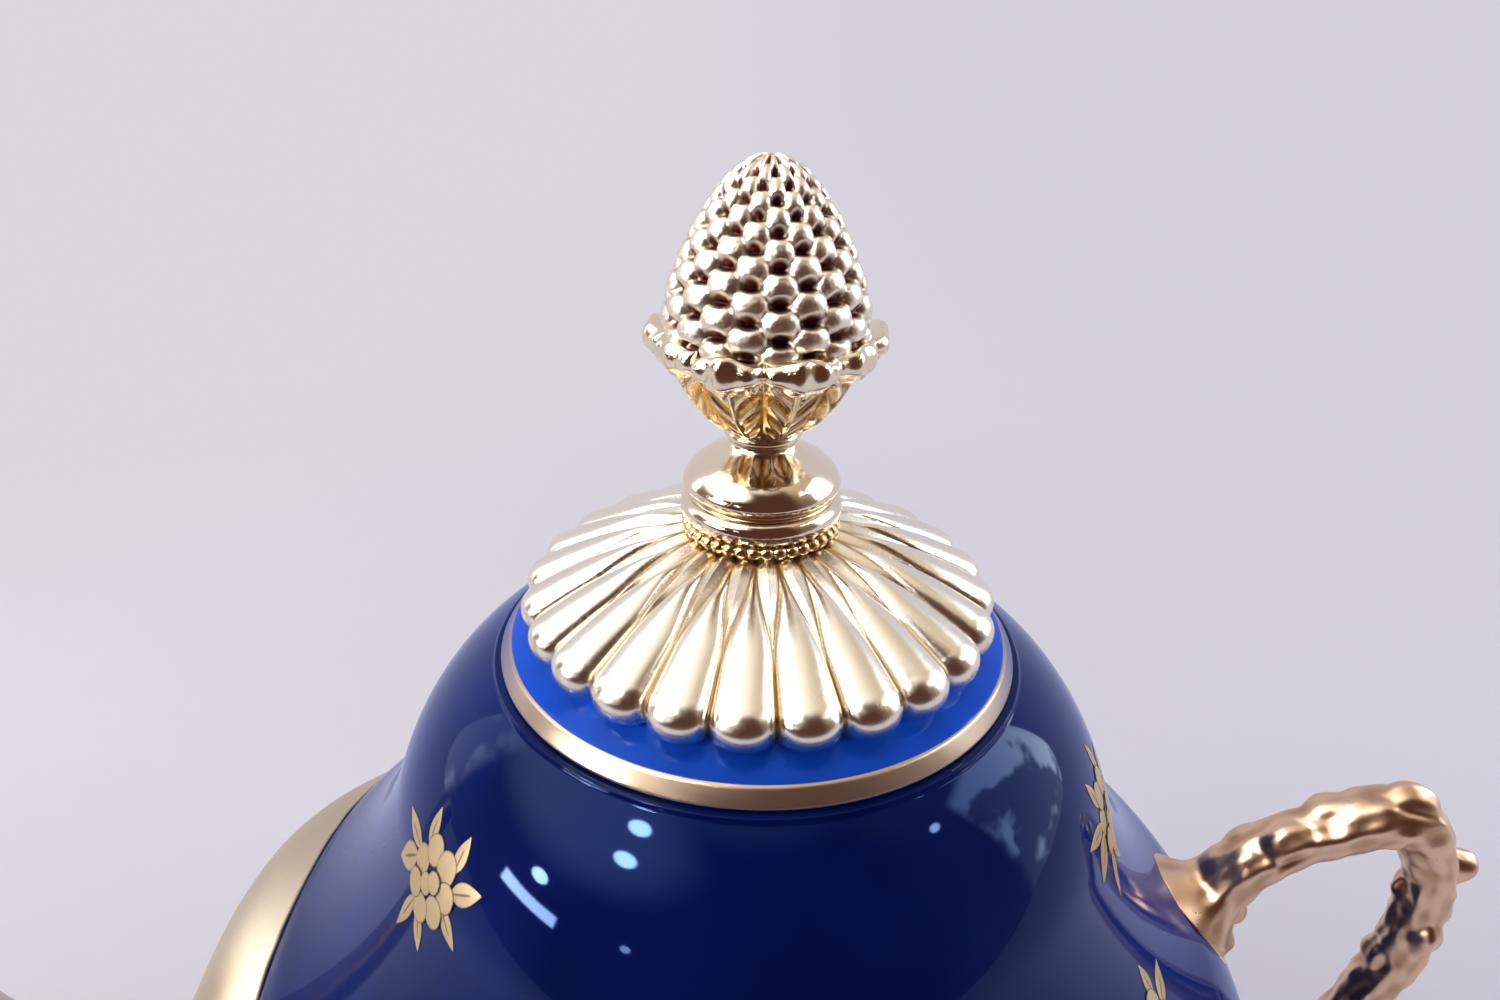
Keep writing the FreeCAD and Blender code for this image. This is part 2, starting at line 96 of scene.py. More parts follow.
class Wire:
    """A node's output, on which arithmetic adds Math nodes."""

    def __init__(self, graph: "Graph", socket: bpy.types.NodeSocket) -> None:
        """Keeps the socket and the graph that its nodes go to."""
        self.graph = graph
        self.socket = socket

    def math(self, operation: str, first: "Input", second: "Input" = 0.0) -> "Wire":
        """Adds one Math node and returns its value."""
        return self.graph.node("ShaderNodeMath", {"operation": operation}, {0: first, 1: second})

    def __add__(self, other: "Input") -> "Wire":
        """Sum."""
        return self.math("ADD", self, other)

    def __radd__(self, other: "Input") -> "Wire":
        """Sum with the wire on the right."""
        return self.math("ADD", other, self)

    def __sub__(self, other: "Input") -> "Wire":
        """Difference."""
        return self.math("SUBTRACT", self, other)

    def __rsub__(self, other: "Input") -> "Wire":
        """Difference with the wire on the right."""
        return self.math("SUBTRACT", other, self)

    def __mul__(self, other: "Input") -> "Wire":
        """Product."""
        return self.math("MULTIPLY", self, other)

    def __rmul__(self, other: "Input") -> "Wire":
        """Product with the wire on the right."""
        return self.math("MULTIPLY", other, self)

    def most(self, other: "Input") -> "Wire":
        """The larger of two values."""
        return self.math("MAXIMUM", self, other)

    def rise(self, low: float, high: float) -> "Wire":
        """0 at low and 1 at high, with a smooth step between them."""
        inputs = {"Value": self, "From Min": low, "From Max": high}
        return self.graph.node("ShaderNodeMapRange", {"interpolation_type": "SMOOTHSTEP"}, inputs)

    def fall(self, low: float, high: float) -> "Wire":
        """1 at low and 0 at high, with a smooth step between them."""
        return 1.0 - self.rise(low, high)

    def within(self, low: float, high: float, soft: float) -> "Wire":
        """1 between low and high, falling smoothly to 0 over the soft width outside them."""
        return self.rise(low - soft, low) * self.fall(high, high + soft)


Input = Union[Wire, float, int, Sequence[float]]


class Graph:
    """The nodes of one material or of the world."""

    def __init__(self, owner: Union[bpy.types.Material, bpy.types.World]) -> None:
        """Empties the owner's nodes and adds its output.

        Args:
            owner: the material or the world.
        """
        owner.use_nodes = True
        self.owner = owner
        self.tree = owner.node_tree
        self.tree.nodes.clear()
        kind = "World" if isinstance(owner, bpy.types.World) else "Material"
        self.output = self.tree.nodes.new(f"ShaderNodeOutput{kind}")

    def node(self, kind: str, settings: Optional[Mapping] = None, inputs: Optional[Mapping] = None,
             output: Union[int, str] = 0) -> Wire:
        """Adds a node.

        Args:
            kind: the node's type.
            settings: properties that are set first.
            inputs: values or wires, by the sockets' names or numbers.
            output: which output to return.

        Returns:
            The chosen output.
        """
        made = self.tree.nodes.new(kind)
        for key, value in (settings or {}).items():
            setattr(made, key, value)
        for key, value in (inputs or {}).items():
            socket = made.inputs[key]
            if isinstance(value, Wire):
                self.tree.links.new(value.socket, socket)
            elif socket.type == "RGBA":
                socket.default_value = (*value, 1.0)[:COLOUR_PARTS]
            else:
                socket.default_value = value
        return Wire(self, made.outputs[output])

    def mix(self, factor: Input, first: Input, second: Input) -> Wire:
        """Blends two colours: the first where the factor is 0, the second where it is 1."""
        return self.node("ShaderNodeMix", {"data_type": "RGBA"}, {0: factor, 6: first, 7: second}, 2)

    def mark(self, mark: Mark) -> Wire:
        """Reads a value that the surface carries."""
        return self.node("ShaderNodeAttribute", {"attribute_name": mark.value}, output="Fac")

    def ray(self, kind: Ray) -> Wire:
        """1 for rays of one kind, and 0 for the others."""
        return self.node("ShaderNodeLightPath", output=kind.value)

    def place(self) -> Wire:
        """The point on the object, in metres."""
        return self.node("ShaderNodeTexCoord", output="Object")

    def part(self, vector: Wire, number: int) -> Wire:
        """A vector's x, y or z, by its number."""
        return self.node("ShaderNodeSeparateXYZ", inputs={0: vector}, output=number)

    def noise(self, scale: float, detail: float = 2.0) -> Wire:
        """Cloudy noise from 0 to 1 on the object's own coordinates."""
        inputs = {"Vector": self.place(), "Scale": scale, "Detail": detail}
        return self.node("ShaderNodeTexNoise", inputs=inputs)

    def bump(self, height: Wire, distance: float, strength: float = 1.0) -> Wire:
        """A normal that is tilted by a height in millimetres."""
        inputs = {"Height": height, "Distance": distance * MM, "Strength": strength}
        return self.node("ShaderNodeBump", inputs=inputs)

    def glow(self, kind: str, colour: Input) -> Wire:
        """An Emission or Background shader of a colour, at a strength of 1."""
        return self.node(f"ShaderNode{kind}", inputs={"Color": colour, "Strength": 1.0})

    def blend(self, factor: Input, first: Wire, second: Wire) -> Wire:
        """Blends two shaders: the first where the factor is 0, the second where it is 1."""
        return self.node("ShaderNodeMixShader", inputs={0: factor, 1: first, 2: second})

    def principled(self, **inputs: Input) -> Wire:
        """A Principled shader, its sockets named with underscores for spaces."""
        named = {key.replace("_", " "): value for key, value in inputs.items()}
        return self.node("ShaderNodeBsdfPrincipled", inputs=named)

    def end(self, shader: Wire) -> Union[bpy.types.Material, bpy.types.World]:
        """Links a shader to the output, and returns the finished owner."""
        self.tree.links.new(shader.socket, self.output.inputs["Surface"])
        return self.owner


@dataclass(frozen=True)
class CobaltGlaze:
    """Deep cobalt under a clear gloss glaze, white inside, bare where it stands, gilt on the lid's edge.

    Clouds holds the scale and detail of the noise that mottles the blue, cloud_edges the values between
    which it turns from deep to lit, and skin the scale, depth and strength of the glaze's faint ripple.
    Tint and level are the reflection's colour and strength, and sheen is the blue that the flanks take on.
    """

    deep: Colour = (0.0006, 0.0010, 0.026)
    lit: Colour = (0.0022, 0.0065, 0.085)
    ring: Colour = (0.006, 0.072, 0.56)
    white: Colour = (0.80, 0.80, 0.78)
    bare: Colour = (0.70, 0.65, 0.58)
    gilt: Colour = (0.56, 0.42, 0.28)
    tint: Colour = (0.26, 0.46, 1.0)
    sheen: Colour = (0.04, 0.20, 1.0)
    sheen_weight: float = 0.42
    sheen_rough: float = 0.45
    level: float = 0.2
    gloss: float = 0.03
    cloud_rough: float = 0.02
    bare_rough: float = 0.5
    band_rough: float = 0.27
    band_metal: float = 0.9
    clouds: Pair = (26.0, 3.0)
    cloud_edges: Pair = (0.35, 0.7)
    skin: Triple = (140.0, 0.02, 0.5)

    def material(self) -> bpy.types.Material:
        """Clouded blue, with the marks of the surface choosing the other finishes.

        Returns:
            The glaze.
        """
        g = Graph(bpy.data.materials.new("cobalt_glaze"))
        cloud = g.noise(*self.clouds)
        bare, band = g.mark(Mark.BARE), g.mark(Mark.BAND)
        colour = g.mix(cloud.rise(*self.cloud_edges), self.deep, self.lit)
        colour = g.mix(g.mark(Mark.RING), colour, self.ring)
        colour = g.mix(g.mark(Mark.INSIDE), colour, self.white)
        colour = g.mix(bare, colour, self.bare)
        colour = g.mix(band, colour, self.gilt)
        rough = cloud * self.cloud_rough + self.gloss + bare * self.bare_rough + band * self.band_rough
        scale, depth, strength = self.skin
        ripple = g.bump(g.noise(scale), depth, strength)
        return g.end(g.principled(
            Base_Color=colour, Roughness=rough, Metallic=band * self.band_metal, Normal=ripple,
            Specular_Tint=self.tint, Specular_IOR_Level=self.level, Sheen_Weight=self.sheen_weight,
            Sheen_Roughness=self.sheen_rough, Sheen_Tint=self.sheen))


@dataclass(frozen=True)
class GiltFinish:
    """Polished plating over a casting: pale on the crests, yellower and duller in the hollows.

    Clouds holds the scale and detail of its mottling. The clouds spread the tarnish, and the clouds, the
    grain and the hollows each roughen it by a share.
    """

    name: str
    crest: Colour = (0.90, 0.77, 0.60)
    hollow: Colour = (0.62, 0.40, 0.14)
    rough: float = 0.14
    pitting: float = 0.03
    clouds: Pair = (220.0, 3.0)
    grain: float = 1400.0
    cloud_tarnish: float = 0.35
    cloud_rough: float = 0.10
    grain_rough: float = 0.08
    hollow_rough: float = 0.10
    grain_height: float = 0.4

    def material(self) -> bpy.types.Material:
        """Metal with a mottled polish, fine pitting and tarnish in the hollows.

        Returns:
            The plating.
        """
        g = Graph(bpy.data.materials.new(self.name))
        hollow = g.mark(Mark.HOLLOW)
        cloud, grain = g.noise(*self.clouds), g.noise(self.grain)
        drift, speck = cloud - 0.5, grain - 0.5
        tarnish = (hollow + drift * self.cloud_tarnish).rise(0.0, 1.0)
        rough = self.rough + drift * self.cloud_rough + speck * self.grain_rough + hollow * self.hollow_rough
        height = grain * self.grain_height + cloud
        return g.end(g.principled(
            Base_Color=g.mix(tarnish, self.crest, self.hollow), Roughness=rough, Metallic=1.0,
            Normal=g.bump(height, self.pitting)))


class Plating(Enum):
    """The platings of the mounts: the colours of crest and hollow, the roughness, and the pitting."""

    CHAMPAGNE = GiltFinish("champagne_gilt")
    SATIN = GiltFinish("satin_gilt", (0.94, 0.87, 0.74), (0.56, 0.37, 0.16), 0.25)
    MATTE = GiltFinish("matte_gilt", (0.62, 0.52, 0.39), (0.45, 0.29, 0.13), 0.42)
    YELLOW = GiltFinish("yellow_gilt", (0.86, 0.64, 0.33), (0.55, 0.33, 0.09), 0.16)
    LEAF = GiltFinish("leaf_gilt", (0.88, 0.76, 0.58), (0.50, 0.28, 0.08), 0.18)
    # The cone's plating: its hollow colour is near-black red-brown, painted shade in the pits and seams.
    PALE_SHADED_PITS = GiltFinish("pale_gilt_painted_pit_shade", (0.94, 0.83, 0.68), (0.10, 0.025, 0.018), 0.34, 0.20)
    ROSE = GiltFinish("rose_gilt", (0.78, 0.54, 0.37), (0.42, 0.22, 0.11), 0.30, 0.05)

    def material(self) -> bpy.types.Material:
        """Makes the plating's material."""
        return self.value.material()


@dataclass(frozen=True)
class GiltPrint:
    """Matt gilt laid on the glaze, with darker outlines and fine specks.

    Line_edges holds the values of the drawn edge between which the line comes in, and rough a roughness
    and how much the specks add to it.
    """

    face: Colour = (0.50, 0.37, 0.21)
    line: Colour = (0.16, 0.10, 0.06)
    specks: float = 1800.0
    line_specks: float = 0.25
    line_edges: Pair = (0.35, 0.85)
    rough: Pair = (0.36, 0.14)
    metal: float = 0.72
    relief: float = 0.012

    def material(self) -> bpy.types.Material:
        """Tan gilt that darkens towards the drawn edges and veins.

        Returns:
            The print.
        """
        g = Graph(bpy.data.materials.new("gilt_print"))
        speck = g.noise(self.specks)
        line = (g.mark(Mark.EDGE) + (speck - 0.5) * self.line_specks).rise(*self.line_edges)
        return g.end(g.principled(
            Base_Color=g.mix(line, self.face, self.line), Roughness=self.rough[0] + speck * self.rough[1],
            Metallic=self.metal, Normal=g.bump(speck, self.relief)))


@dataclass(frozen=True)
class PlainFinish:
    """Two shades of one colour, mottled by fine noise that also varies the polish.

    Grain holds the noise's scale and detail, and rough a roughness and how much the noise adds to it.
    """

    name: str
    dark: Colour
    light: Colour
    grain: Pair
    rough: Pair
    relief: float
    metal: float

    def material(self) -> bpy.types.Material:
        """The two shades blended by the noise, which is also a slight bump.

        Returns:
            The finish.
        """
        g = Graph(bpy.data.materials.new(self.name))
        fleck = g.noise(*self.grain)
        return g.end(g.principled(
            Base_Color=g.mix(fleck, self.dark, self.light), Roughness=self.rough[0] + fleck * self.rough[1],
            Metallic=self.metal, Normal=g.bump(fleck, self.relief)))


class Plain(Enum):
    """The finishes of the fittings: streaky stainless steel, and near-black rubber with a dusty bloom."""

    STEEL = PlainFinish("stainless_steel", (0.40, 0.39, 0.38), (0.55, 0.55, 0.56), (900.0, 4.0), (0.22, 0.2),
                        0.02, 1.0)
    SEAL = PlainFinish("soft_seal", (0.020, 0.017, 0.015), (0.045, 0.040, 0.036), (600.0, 4.0), (0.6, 0.2),
                       0.05, 0.0)

    def material(self) -> bpy.types.Material:
        """Makes the finish's material."""
        return self.value.material()


def smooth(low: float, high: float, value: np.ndarray) -> np.ndarray:
    """A smooth step from 0 at low to 1 at high: t t (3 - 2 t), with t the share of the way."""
    t = np.clip((value - low) / (high - low), 0.0, 1.0)
    return t * t * (3.0 - 2.0 * t)


def dome(share: np.ndarray) -> np.ndarray:
    """A half circle's height over its half width: sqrt(1 - share squared), and 0 beyond it."""
    return np.sqrt(np.clip(1.0 - share * share, 0.0, None))


def hump(value: np.ndarray, centre: float, width: float) -> np.ndarray:
    """A bell of height 1 about a centre: exp(-((value - centre) / width) squared)."""
    return np.exp(-((value - centre) / width) ** 2)


def flowing(knots: np.ndarray, share: np.ndarray) -> np.ndarray:
    """A smooth curve through knots, each span a cubic whose end slopes are half of its neighbours' chord.

    Args:
        knots: the knots, one a row.
        share: places along the curve, from 0 at the first knot to 1 at the last.

    Returns:
        One point for each share.
    """
    spans = len(knots) - 1
    ends = np.concatenate([[2 * knots[0] - knots[1]], knots, [2 * knots[-1] - knots[-2]]])
    span = np.clip((share * spans).astype(int), 0, spans - 1)
    t = (share * spans - span)[..., None]
    a, b, c, d = (ends[span + k] for k in range(4))
    return b + 0.5 * t * (c - a + t * (2 * a - 5 * b + 4 * c - d + t * (3 * (b - c) + d - a)))


def curve(knots: Sequence[Sequence[float]], rows: int) -> np.ndarray:
    """A flowing curve through knots, at a number of even shares."""
    return flowing(np.array(knots), np.linspace(0.0, 1.0, rows))


def softened(corners: Sequence[Triple], steps: int = 6) -> np.ndarray:
    """An outline through corners, each rounded by a parabola that starts its third value before it.

    Args:
        corners: radius, height and rounding of each corner.
        steps: points on each rounding.

    Returns:
        The outline's points, in rows of radius and height.
    """
    points = np.array([c[:2] for c in corners])
    legs = np.diff(points, axis=0)
    legs /= np.linalg.norm(legs, axis=1)[:, None]
    ways_in = np.concatenate([legs[:1], legs])
    ways_out = np.concatenate([legs, legs[-1:]])
    rounds = np.array([c[2] for c in corners])[:, None]
    first, last = points - ways_in * rounds, points + ways_out * rounds
    t = np.linspace(0.0, 1.0, steps)[None, :, None]
    bow = (1 - t) ** 2 * first[:, None] + 2 * t * (1 - t) * points[:, None] + t * t * last[:, None]
    return bow.reshape(-1, 2)


def runs(line: np.ndarray) -> np.ndarray:
    """The distance along a line at each of its points: the running sum of the steps' lengths."""
    return np.concatenate([[0.0], np.cumsum(np.linalg.norm(np.diff(line, axis=0), axis=1))])


def headings(line: np.ndarray) -> np.ndarray:
    """The unit direction of a line at each of its points, from the difference of its neighbours."""
    way = np.gradient(line, axis=0)
    return way / np.linalg.norm(way, axis=1)[:, None]


def evened(line: np.ndarray, rows: int) -> np.ndarray:
    """The same line at a number of points that are evenly spaced along it.

    Args:
        line: radius and height of its points.
        rows: how many points to return.

    Returns:
        The points, in rows of radius and height.
    """
    run = runs(line)
    at = np.linspace(0.0, run[-1], rows)
    return np.stack([np.interp(at, run, line[:, k]) for k in range(2)], axis=1)


def by_part(parts: Sequence[np.ndarray], values: Sequence[float]) -> np.ndarray:
    """One value for each part of an outline, repeated over the part's rows, as a column."""
    return np.repeat(np.array(values, float), [len(p) for p in parts])[:, None]


def turns(columns: int) -> np.ndarray:
    """Azimuths once round the axis, in radians, as one row."""
    return np.linspace(-np.pi, np.pi, columns, endpoint=False)[None]


def turned(radius: np.ndarray, height: np.ndarray, azimuth: np.ndarray) -> np.ndarray:
    """Points at a radius and height about the axis: (r sin azimuth, -r cos azimuth, height)."""
    radius, height, azimuth = np.broadcast_arrays(radius, height, azimuth)
    return np.stack([radius * np.sin(azimuth), -radius * np.cos(azimuth), height], axis=-1)


def lathed(profile: np.ndarray, columns: int, base: float = 0.0) -> np.ndarray:
    """An outline of radius and height, raised by a base height and turned once round the axis."""
    return turned(profile[:, :1], profile[:, 1:] + base, turns(columns))


@dataclass(frozen=True)
class Site:
    """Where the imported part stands: the pot's axis, its rim, and the underside of the lid's edge."""

    axis: float
    rim: float
    lid: float

    @classmethod
    def read(cls, gap: float = 0.2) -> "Site":
        """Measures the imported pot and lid.

        Args:
            gap: how far the lid's edge stands above the rim.

        Returns:
            The site.
        """
        low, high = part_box("lid_shell")
        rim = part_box("pot_body")[1].z / MM
        return cls((low.x + high.x) / 2 / MM, rim, rim + gap)


@dataclass
class Form:
    """A closed surface of quads and triangles, with named values at its points."""

    points: np.ndarray
    quads: np.ndarray
    tris: np.ndarray
    marks: Dict[Mark, np.ndarray]

    @classmethod
    def grid(cls, points: np.ndarray, marks: Mapping[Mark, np.ndarray], loop: bool = False) -> "Form":
        """A surface over two parameters whose columns run round.

        Args:
            points: rows by columns by 3.
            marks: named values that fit rows by columns.
            loop: whether the last row joins the first; otherwise each end closes on its middle.

        Returns:
            The closed surface.
        """
        rows, columns = points.shape[:2]
        index = np.arange(rows * columns).reshape(rows, columns)
        right = np.roll(index, -1, axis=1)
        lower, beside = np.roll(index, -1, axis=0), np.roll(right, -1, axis=0)
        if not loop:
            index, right, lower, beside = (a[:-1] for a in (index, right, lower, beside))
        quads = np.stack([index, right, beside, lower], axis=-1).reshape(-1, 4)
        values = {m: np.broadcast_to(v, (rows, columns)).astype(float) for m, v in marks.items()}
        if loop:
            flat = {m: v.ravel() for m, v in values.items()}
            return cls(points.reshape(-1, 3), quads, np.zeros((0, 3), int), flat)
        ring = np.arange(columns)
        start, last = rows * columns, (rows - 1) * columns
        first_fan = np.stack([np.full(columns, start), np.roll(ring, -1), ring], axis=-1)
        last_fan = np.stack([np.full(columns, start + 1), last + ring, last + np.roll(ring, -1)], axis=-1)
        ends = points[[0, -1]].mean(axis=1)
        flat = {m: np.concatenate([v.ravel(), v[[0, -1]].mean(axis=1)]) for m, v in values.items()}
        return cls(np.concatenate([points.reshape(-1, 3), ends]), quads,
                   np.concatenate([first_fan, last_fan]), flat)

    @classmethod
    def joined(cls, forms: Sequence["Form"]) -> "Form":
        """Several forms as one, with the marks that the first one has.

        Args:
            forms: the forms, each with the same marks.

        Returns:
            The joined form.
        """
        starts = np.cumsum([0] + [len(f.points) for f in forms[:-1]])
        return cls(np.concatenate([f.points for f in forms]),
                   np.concatenate([f.quads + s for f, s in zip(forms, starts)]),
                   np.concatenate([f.tris + s for f, s in zip(forms, starts)]),
                   {m: np.concatenate([f.marks[m] for f in forms]) for m in forms[0].marks})

    def outward(self) -> "Form":
        """Turns the faces over if the volume that they enclose, a sum of a . (b x c), comes out negative.

        Returns:
            The same form.
        """
        q, p = self.quads, self.points
        faces = np.concatenate([q[:, :3], q[:, [0, 2, 3]], self.tris])
        a, b, c = (p[faces[:, k]] for k in range(3))
        if np.einsum("ij,ij->", a, np.cross(b, c)) < 0:
            self.quads, self.tris = q[:, ::-1], self.tris[:, ::-1]
        return self

    def mesh(self, name: str, site: Site) -> bpy.types.Mesh:
        """Writes the form as a smooth mesh in metres, at its place in the row's frame.

        Args:
            name: the mesh's name.
            site: where the part stands.

        Returns:
            The mesh, with the marks as attributes of its points.
        """
        made = bpy.data.meshes.new(name)
        metres = ((self.points + np.array([site.axis, 0.0, 0.0])) * MM).astype(np.float32)
        corners = np.concatenate([self.quads.ravel(), self.tris.ravel()]).astype(np.int32)
        sizes = np.concatenate([np.full(len(self.quads), 4), np.full(len(self.tris), 3)])
        starts = np.concatenate([[0], np.cumsum(sizes)[:-1]]).astype(np.int32)
        made.vertices.add(len(metres))
        made.vertices.foreach_set("co", metres.ravel())
        made.loops.add(len(corners))
        made.loops.foreach_set("vertex_index", corners)
        made.polygons.add(len(sizes))
        made.polygons.foreach_set("loop_start", starts)
        made.polygons.foreach_set("use_smooth", np.ones(len(sizes), bool))
        made.update(calc_edges=True)
        made.validate()
        for mark, values in self.marks.items():
            layer = made.attributes.new(mark.value, "FLOAT", "POINT")
            layer.data.foreach_set("value", values.astype(np.float32))
        return made

    def piece(self, name: str, site: Site, material: bpy.types.Material, body: Body, slot: Slot,
              stands_for: Sequence[str] = ()) -> None:
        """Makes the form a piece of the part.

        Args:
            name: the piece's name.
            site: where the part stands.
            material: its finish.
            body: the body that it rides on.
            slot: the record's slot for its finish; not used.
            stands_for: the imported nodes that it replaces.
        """
        made = bpy.data.objects.new(name, self.outward().mesh(name, site))
        bpy.context.scene.collection.objects.link(made)
        made.data.materials.append(material)
        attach(made, body.value)
        if stands_for:
            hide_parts(*stands_for)
        log.info("%s: %d points on %s", name, len(self.points), body.value)


@dataclass(frozen=True)
class PotOutline:
    """The pot's outer outline from the mouth down: arcs by their slopes below the horizontal and radii."""

    mouth: float = 32.5
    arcs: Tuple[Triple, ...] = (
        (31.3, 71.0, 32.4), (71.0, 41.8, 64.0), (41.8, 90.0, 32.0), (90.0, 148.0, 68.0))
    steps: int = 44

    def trace(self, site: Site) -> np.ndarray:
        """Follows the arcs: from slope a0 to a, r grows by R (sin a - sin a0) and z by R (cos a - cos a0).

        Args:
            site: where the part stands.

        Returns:
            Rows of run from the mouth, radius, height and slope.
        """
        rows = []
        run, radius, height = 0.0, self.mouth, site.rim
        for begin, end, bend in self.arcs:
            slope = np.radians(np.linspace(begin, end, self.steps))
            way = bend if end > begin else -bend
            out = radius + way * (np.sin(slope) - np.sin(slope[0]))
            up = height + way * (np.cos(slope) - np.cos(slope[0]))
            along = run + bend * np.abs(slope - slope[0])
            rows.append(np.stack([along, out, up, slope], axis=1)[bool(rows):])
            run, radius, height = along[-1], out[-1], up[-1]
        return np.concatenate(rows)

    def beyond(self, site: Site, points: np.ndarray) -> np.ndarray:
        """How far points stand out from the outline, level with it.

        Args:
            site: where the part stands.
            points: any number of points.

        Returns:
            A distance for each point, below 0 inside the pot.
        """
        _, radius, height, _ = self.trace(site).T
        wall = np.interp(points[..., 2], height[::-1], radius[::-1])
        return np.hypot(points[..., 0], points[..., 1]) - wall


@dataclass
class PorcelainPot:
    """The thin-walled pot: the outline turned about the axis, a foot ring, and the mouth's seat.

    Foot holds the ring's inner and outer radius, seat the radius and height of the mouth's ledge, and
    corner the radius at which the floor meets the wall. Pole is the radius of the small end rows, margin
    the room left for the roundings, and unglazed the height below which the foot is bare.
    """

    wall: float = 4.0
    base: float = 4.39
    floor: float = 8.89
    foot: Pair = (37.86, 42.76)
    foot_rounds: Pair = (0.8, 0.9)
    seat: Pair = (29.6, 127.61)
    mouth_rounds: Pair = (0.5, 0.4)
    corner: float = 40.0
    corner_round: float = 3.0
    pole: float = 0.4
    margin: float = 1.0
    unglazed: float = 0.7
    columns: int = 224

    def dress(self, site: Site, outline: PotOutline, material: bpy.types.Material) -> None:
        """The outside and the inside, offset by the wall along the normal, as one turned surface.

        Args:
            site: where the part stands.
            outline: the pot's outer outline.
            material: its glaze.
        """
        (inner, outer), (recess, tread), (lip, ledge) = self.foot, self.foot_rounds, self.mouth_rounds
        under = softened([(self.pole, self.base, 0), (inner, self.base, recess), (inner, 0.0, tread),
                          (outer, 0.0, tread)])
        _, radius, height, slope = outline.trace(site)[::-1].T
        outside = np.stack([radius, height], axis=1)
        inside = (outside - self.wall * np.stack([np.sin(slope), np.cos(slope)], axis=1))[::-1]
        kept = (inside[:, 1] > self.floor + self.margin) & (inside[:, 1] < self.seat[1] - self.margin)
        inside = inside[kept]
        mouth = softened([(outline.mouth, site.rim, lip), (self.seat[0], site.rim, lip), (*self.seat, ledge)])
        bottom = softened([(*inside[-1], 0), (self.corner, self.floor, self.corner_round),
                           (self.pole, self.floor, 0)])
        parts = [under, outside[:-1], mouth, inside, bottom]
        profile = np.concatenate(parts)
        marks = {Mark.INSIDE: by_part(parts, (0, 0, 0, 1, 1)), Mark.BARE: profile[:, 1:] < self.unglazed,
                 Mark.RING: NONE, Mark.BAND: NONE}
        form = Form.grid(lathed(profile, self.columns), marks)
        form.piece("porcelain_pot", site, material, Body.POT, Slot.PORCELAIN, ["pot_body"])


@dataclass
class Lid:
    """The porcelain lid: a low dome, a brim with a gilt edge, and a flange that drops into the mouth.

    Flange holds its outer and inner radius and its drop. The edge's and the flange's rounds are those of
    their corners, in order. Margin, band_start and band_end are the small steps beside the gilt band, and
    chamfer is the flange's slanted foot.
    """

    hole: float = 2.1
    hub: Pair = (7.5, 9.0)
    crown: Pair = (17.625, 8.125)
    brim: Pair = (27.75, 3.45)
    edge: Pair = (31.05, 2.15)
    rim: Pair = (32.25, 0.35)
    bottom: float = 31.9
    edge_rounds: Triple = (0.25, 0.3, 0.2)
    margin: float = 0.35
    band_start: Pair = (0.3, 0.1)
    band_end: float = 0.6
    flange: Triple = (29.0, 25.5, 9.0)
    flange_rounds: Tuple[float, ...] = (0.3, 0.3, 0.4, 0.5, 0.6)
    chamfer: float = 1.0
    flange_top: float = -0.2
    wall: float = 3.5
    ceiling: float = 5.5
    top_rows: int = 60
    hollow_rows: int = 30
    columns: int = 256

    def top(self, radius: np.ndarray) -> np.ndarray:
        """The height of the dome: a parabola through the hub, the crown and the brim, and a straight brim.

        Args:
            radius: distances from the axis.

        Returns:
            The height at each.
        """
        bow = np.polyfit(*np.array([self.hub, self.crown, self.brim]).T, 2)
        slope = (self.edge[1] - self.brim[1]) / (self.edge[0] - self.brim[0])
        curved = np.where(radius < self.hub[0], self.hub[1], np.polyval(bow, radius))
        return np.where(radius < self.brim[0], curved, self.brim[1] + slope * (radius - self.brim[0]))

    def dress(self, site: Site, material: bpy.types.Material) -> None:
        """One closed outline turned about the axis, with the edge band and the blue ring marked on it.

        Args:
            site: where the part stands.
            material: its glaze.
        """
        out, inn, drop = self.flange
        across = np.linspace(self.hole, self.edge[0] - self.margin, self.top_rows)
        upper = np.stack([across, self.top(across)], axis=1)
        shoulder, side, foot = self.edge_rounds
        inset, above = self.band_start
        band = softened([(self.edge[0] - inset, self.edge[1] + above, 0), (*self.edge, shoulder),
                         (*self.rim, side), (self.bottom, 0.0, foot), (out + self.band_end, 0.0, 0)])
        corners = [(out, 0.0), (out, self.chamfer - drop), (out - self.chamfer, -drop), (inn, -drop),
                   (inn, self.flange_top)]
        under = softened([(*c, soft) for c, soft in zip(corners, self.flange_rounds)])
        back = np.linspace(inn - self.chamfer, self.hole, self.hollow_rows)
        hollow = np.stack([back, np.minimum(self.top(back) - self.wall, self.ceiling)], axis=1)
        parts = [upper, band, under, hollow]
        blue = by_part(parts, (1, 1, 0, 0))
        marks = {Mark.RING: blue, Mark.BAND: by_part(parts, (0, 1, 0, 0)), Mark.INSIDE: 1.0 - blue,
                 Mark.BARE: NONE}
        form = Form.grid(lathed(np.concatenate(parts), self.columns, site.lid), marks, loop=True)
        form.piece("porcelain_lid", site, material, Body.LID, Slot.PORCELAIN, ["lid_shell"])


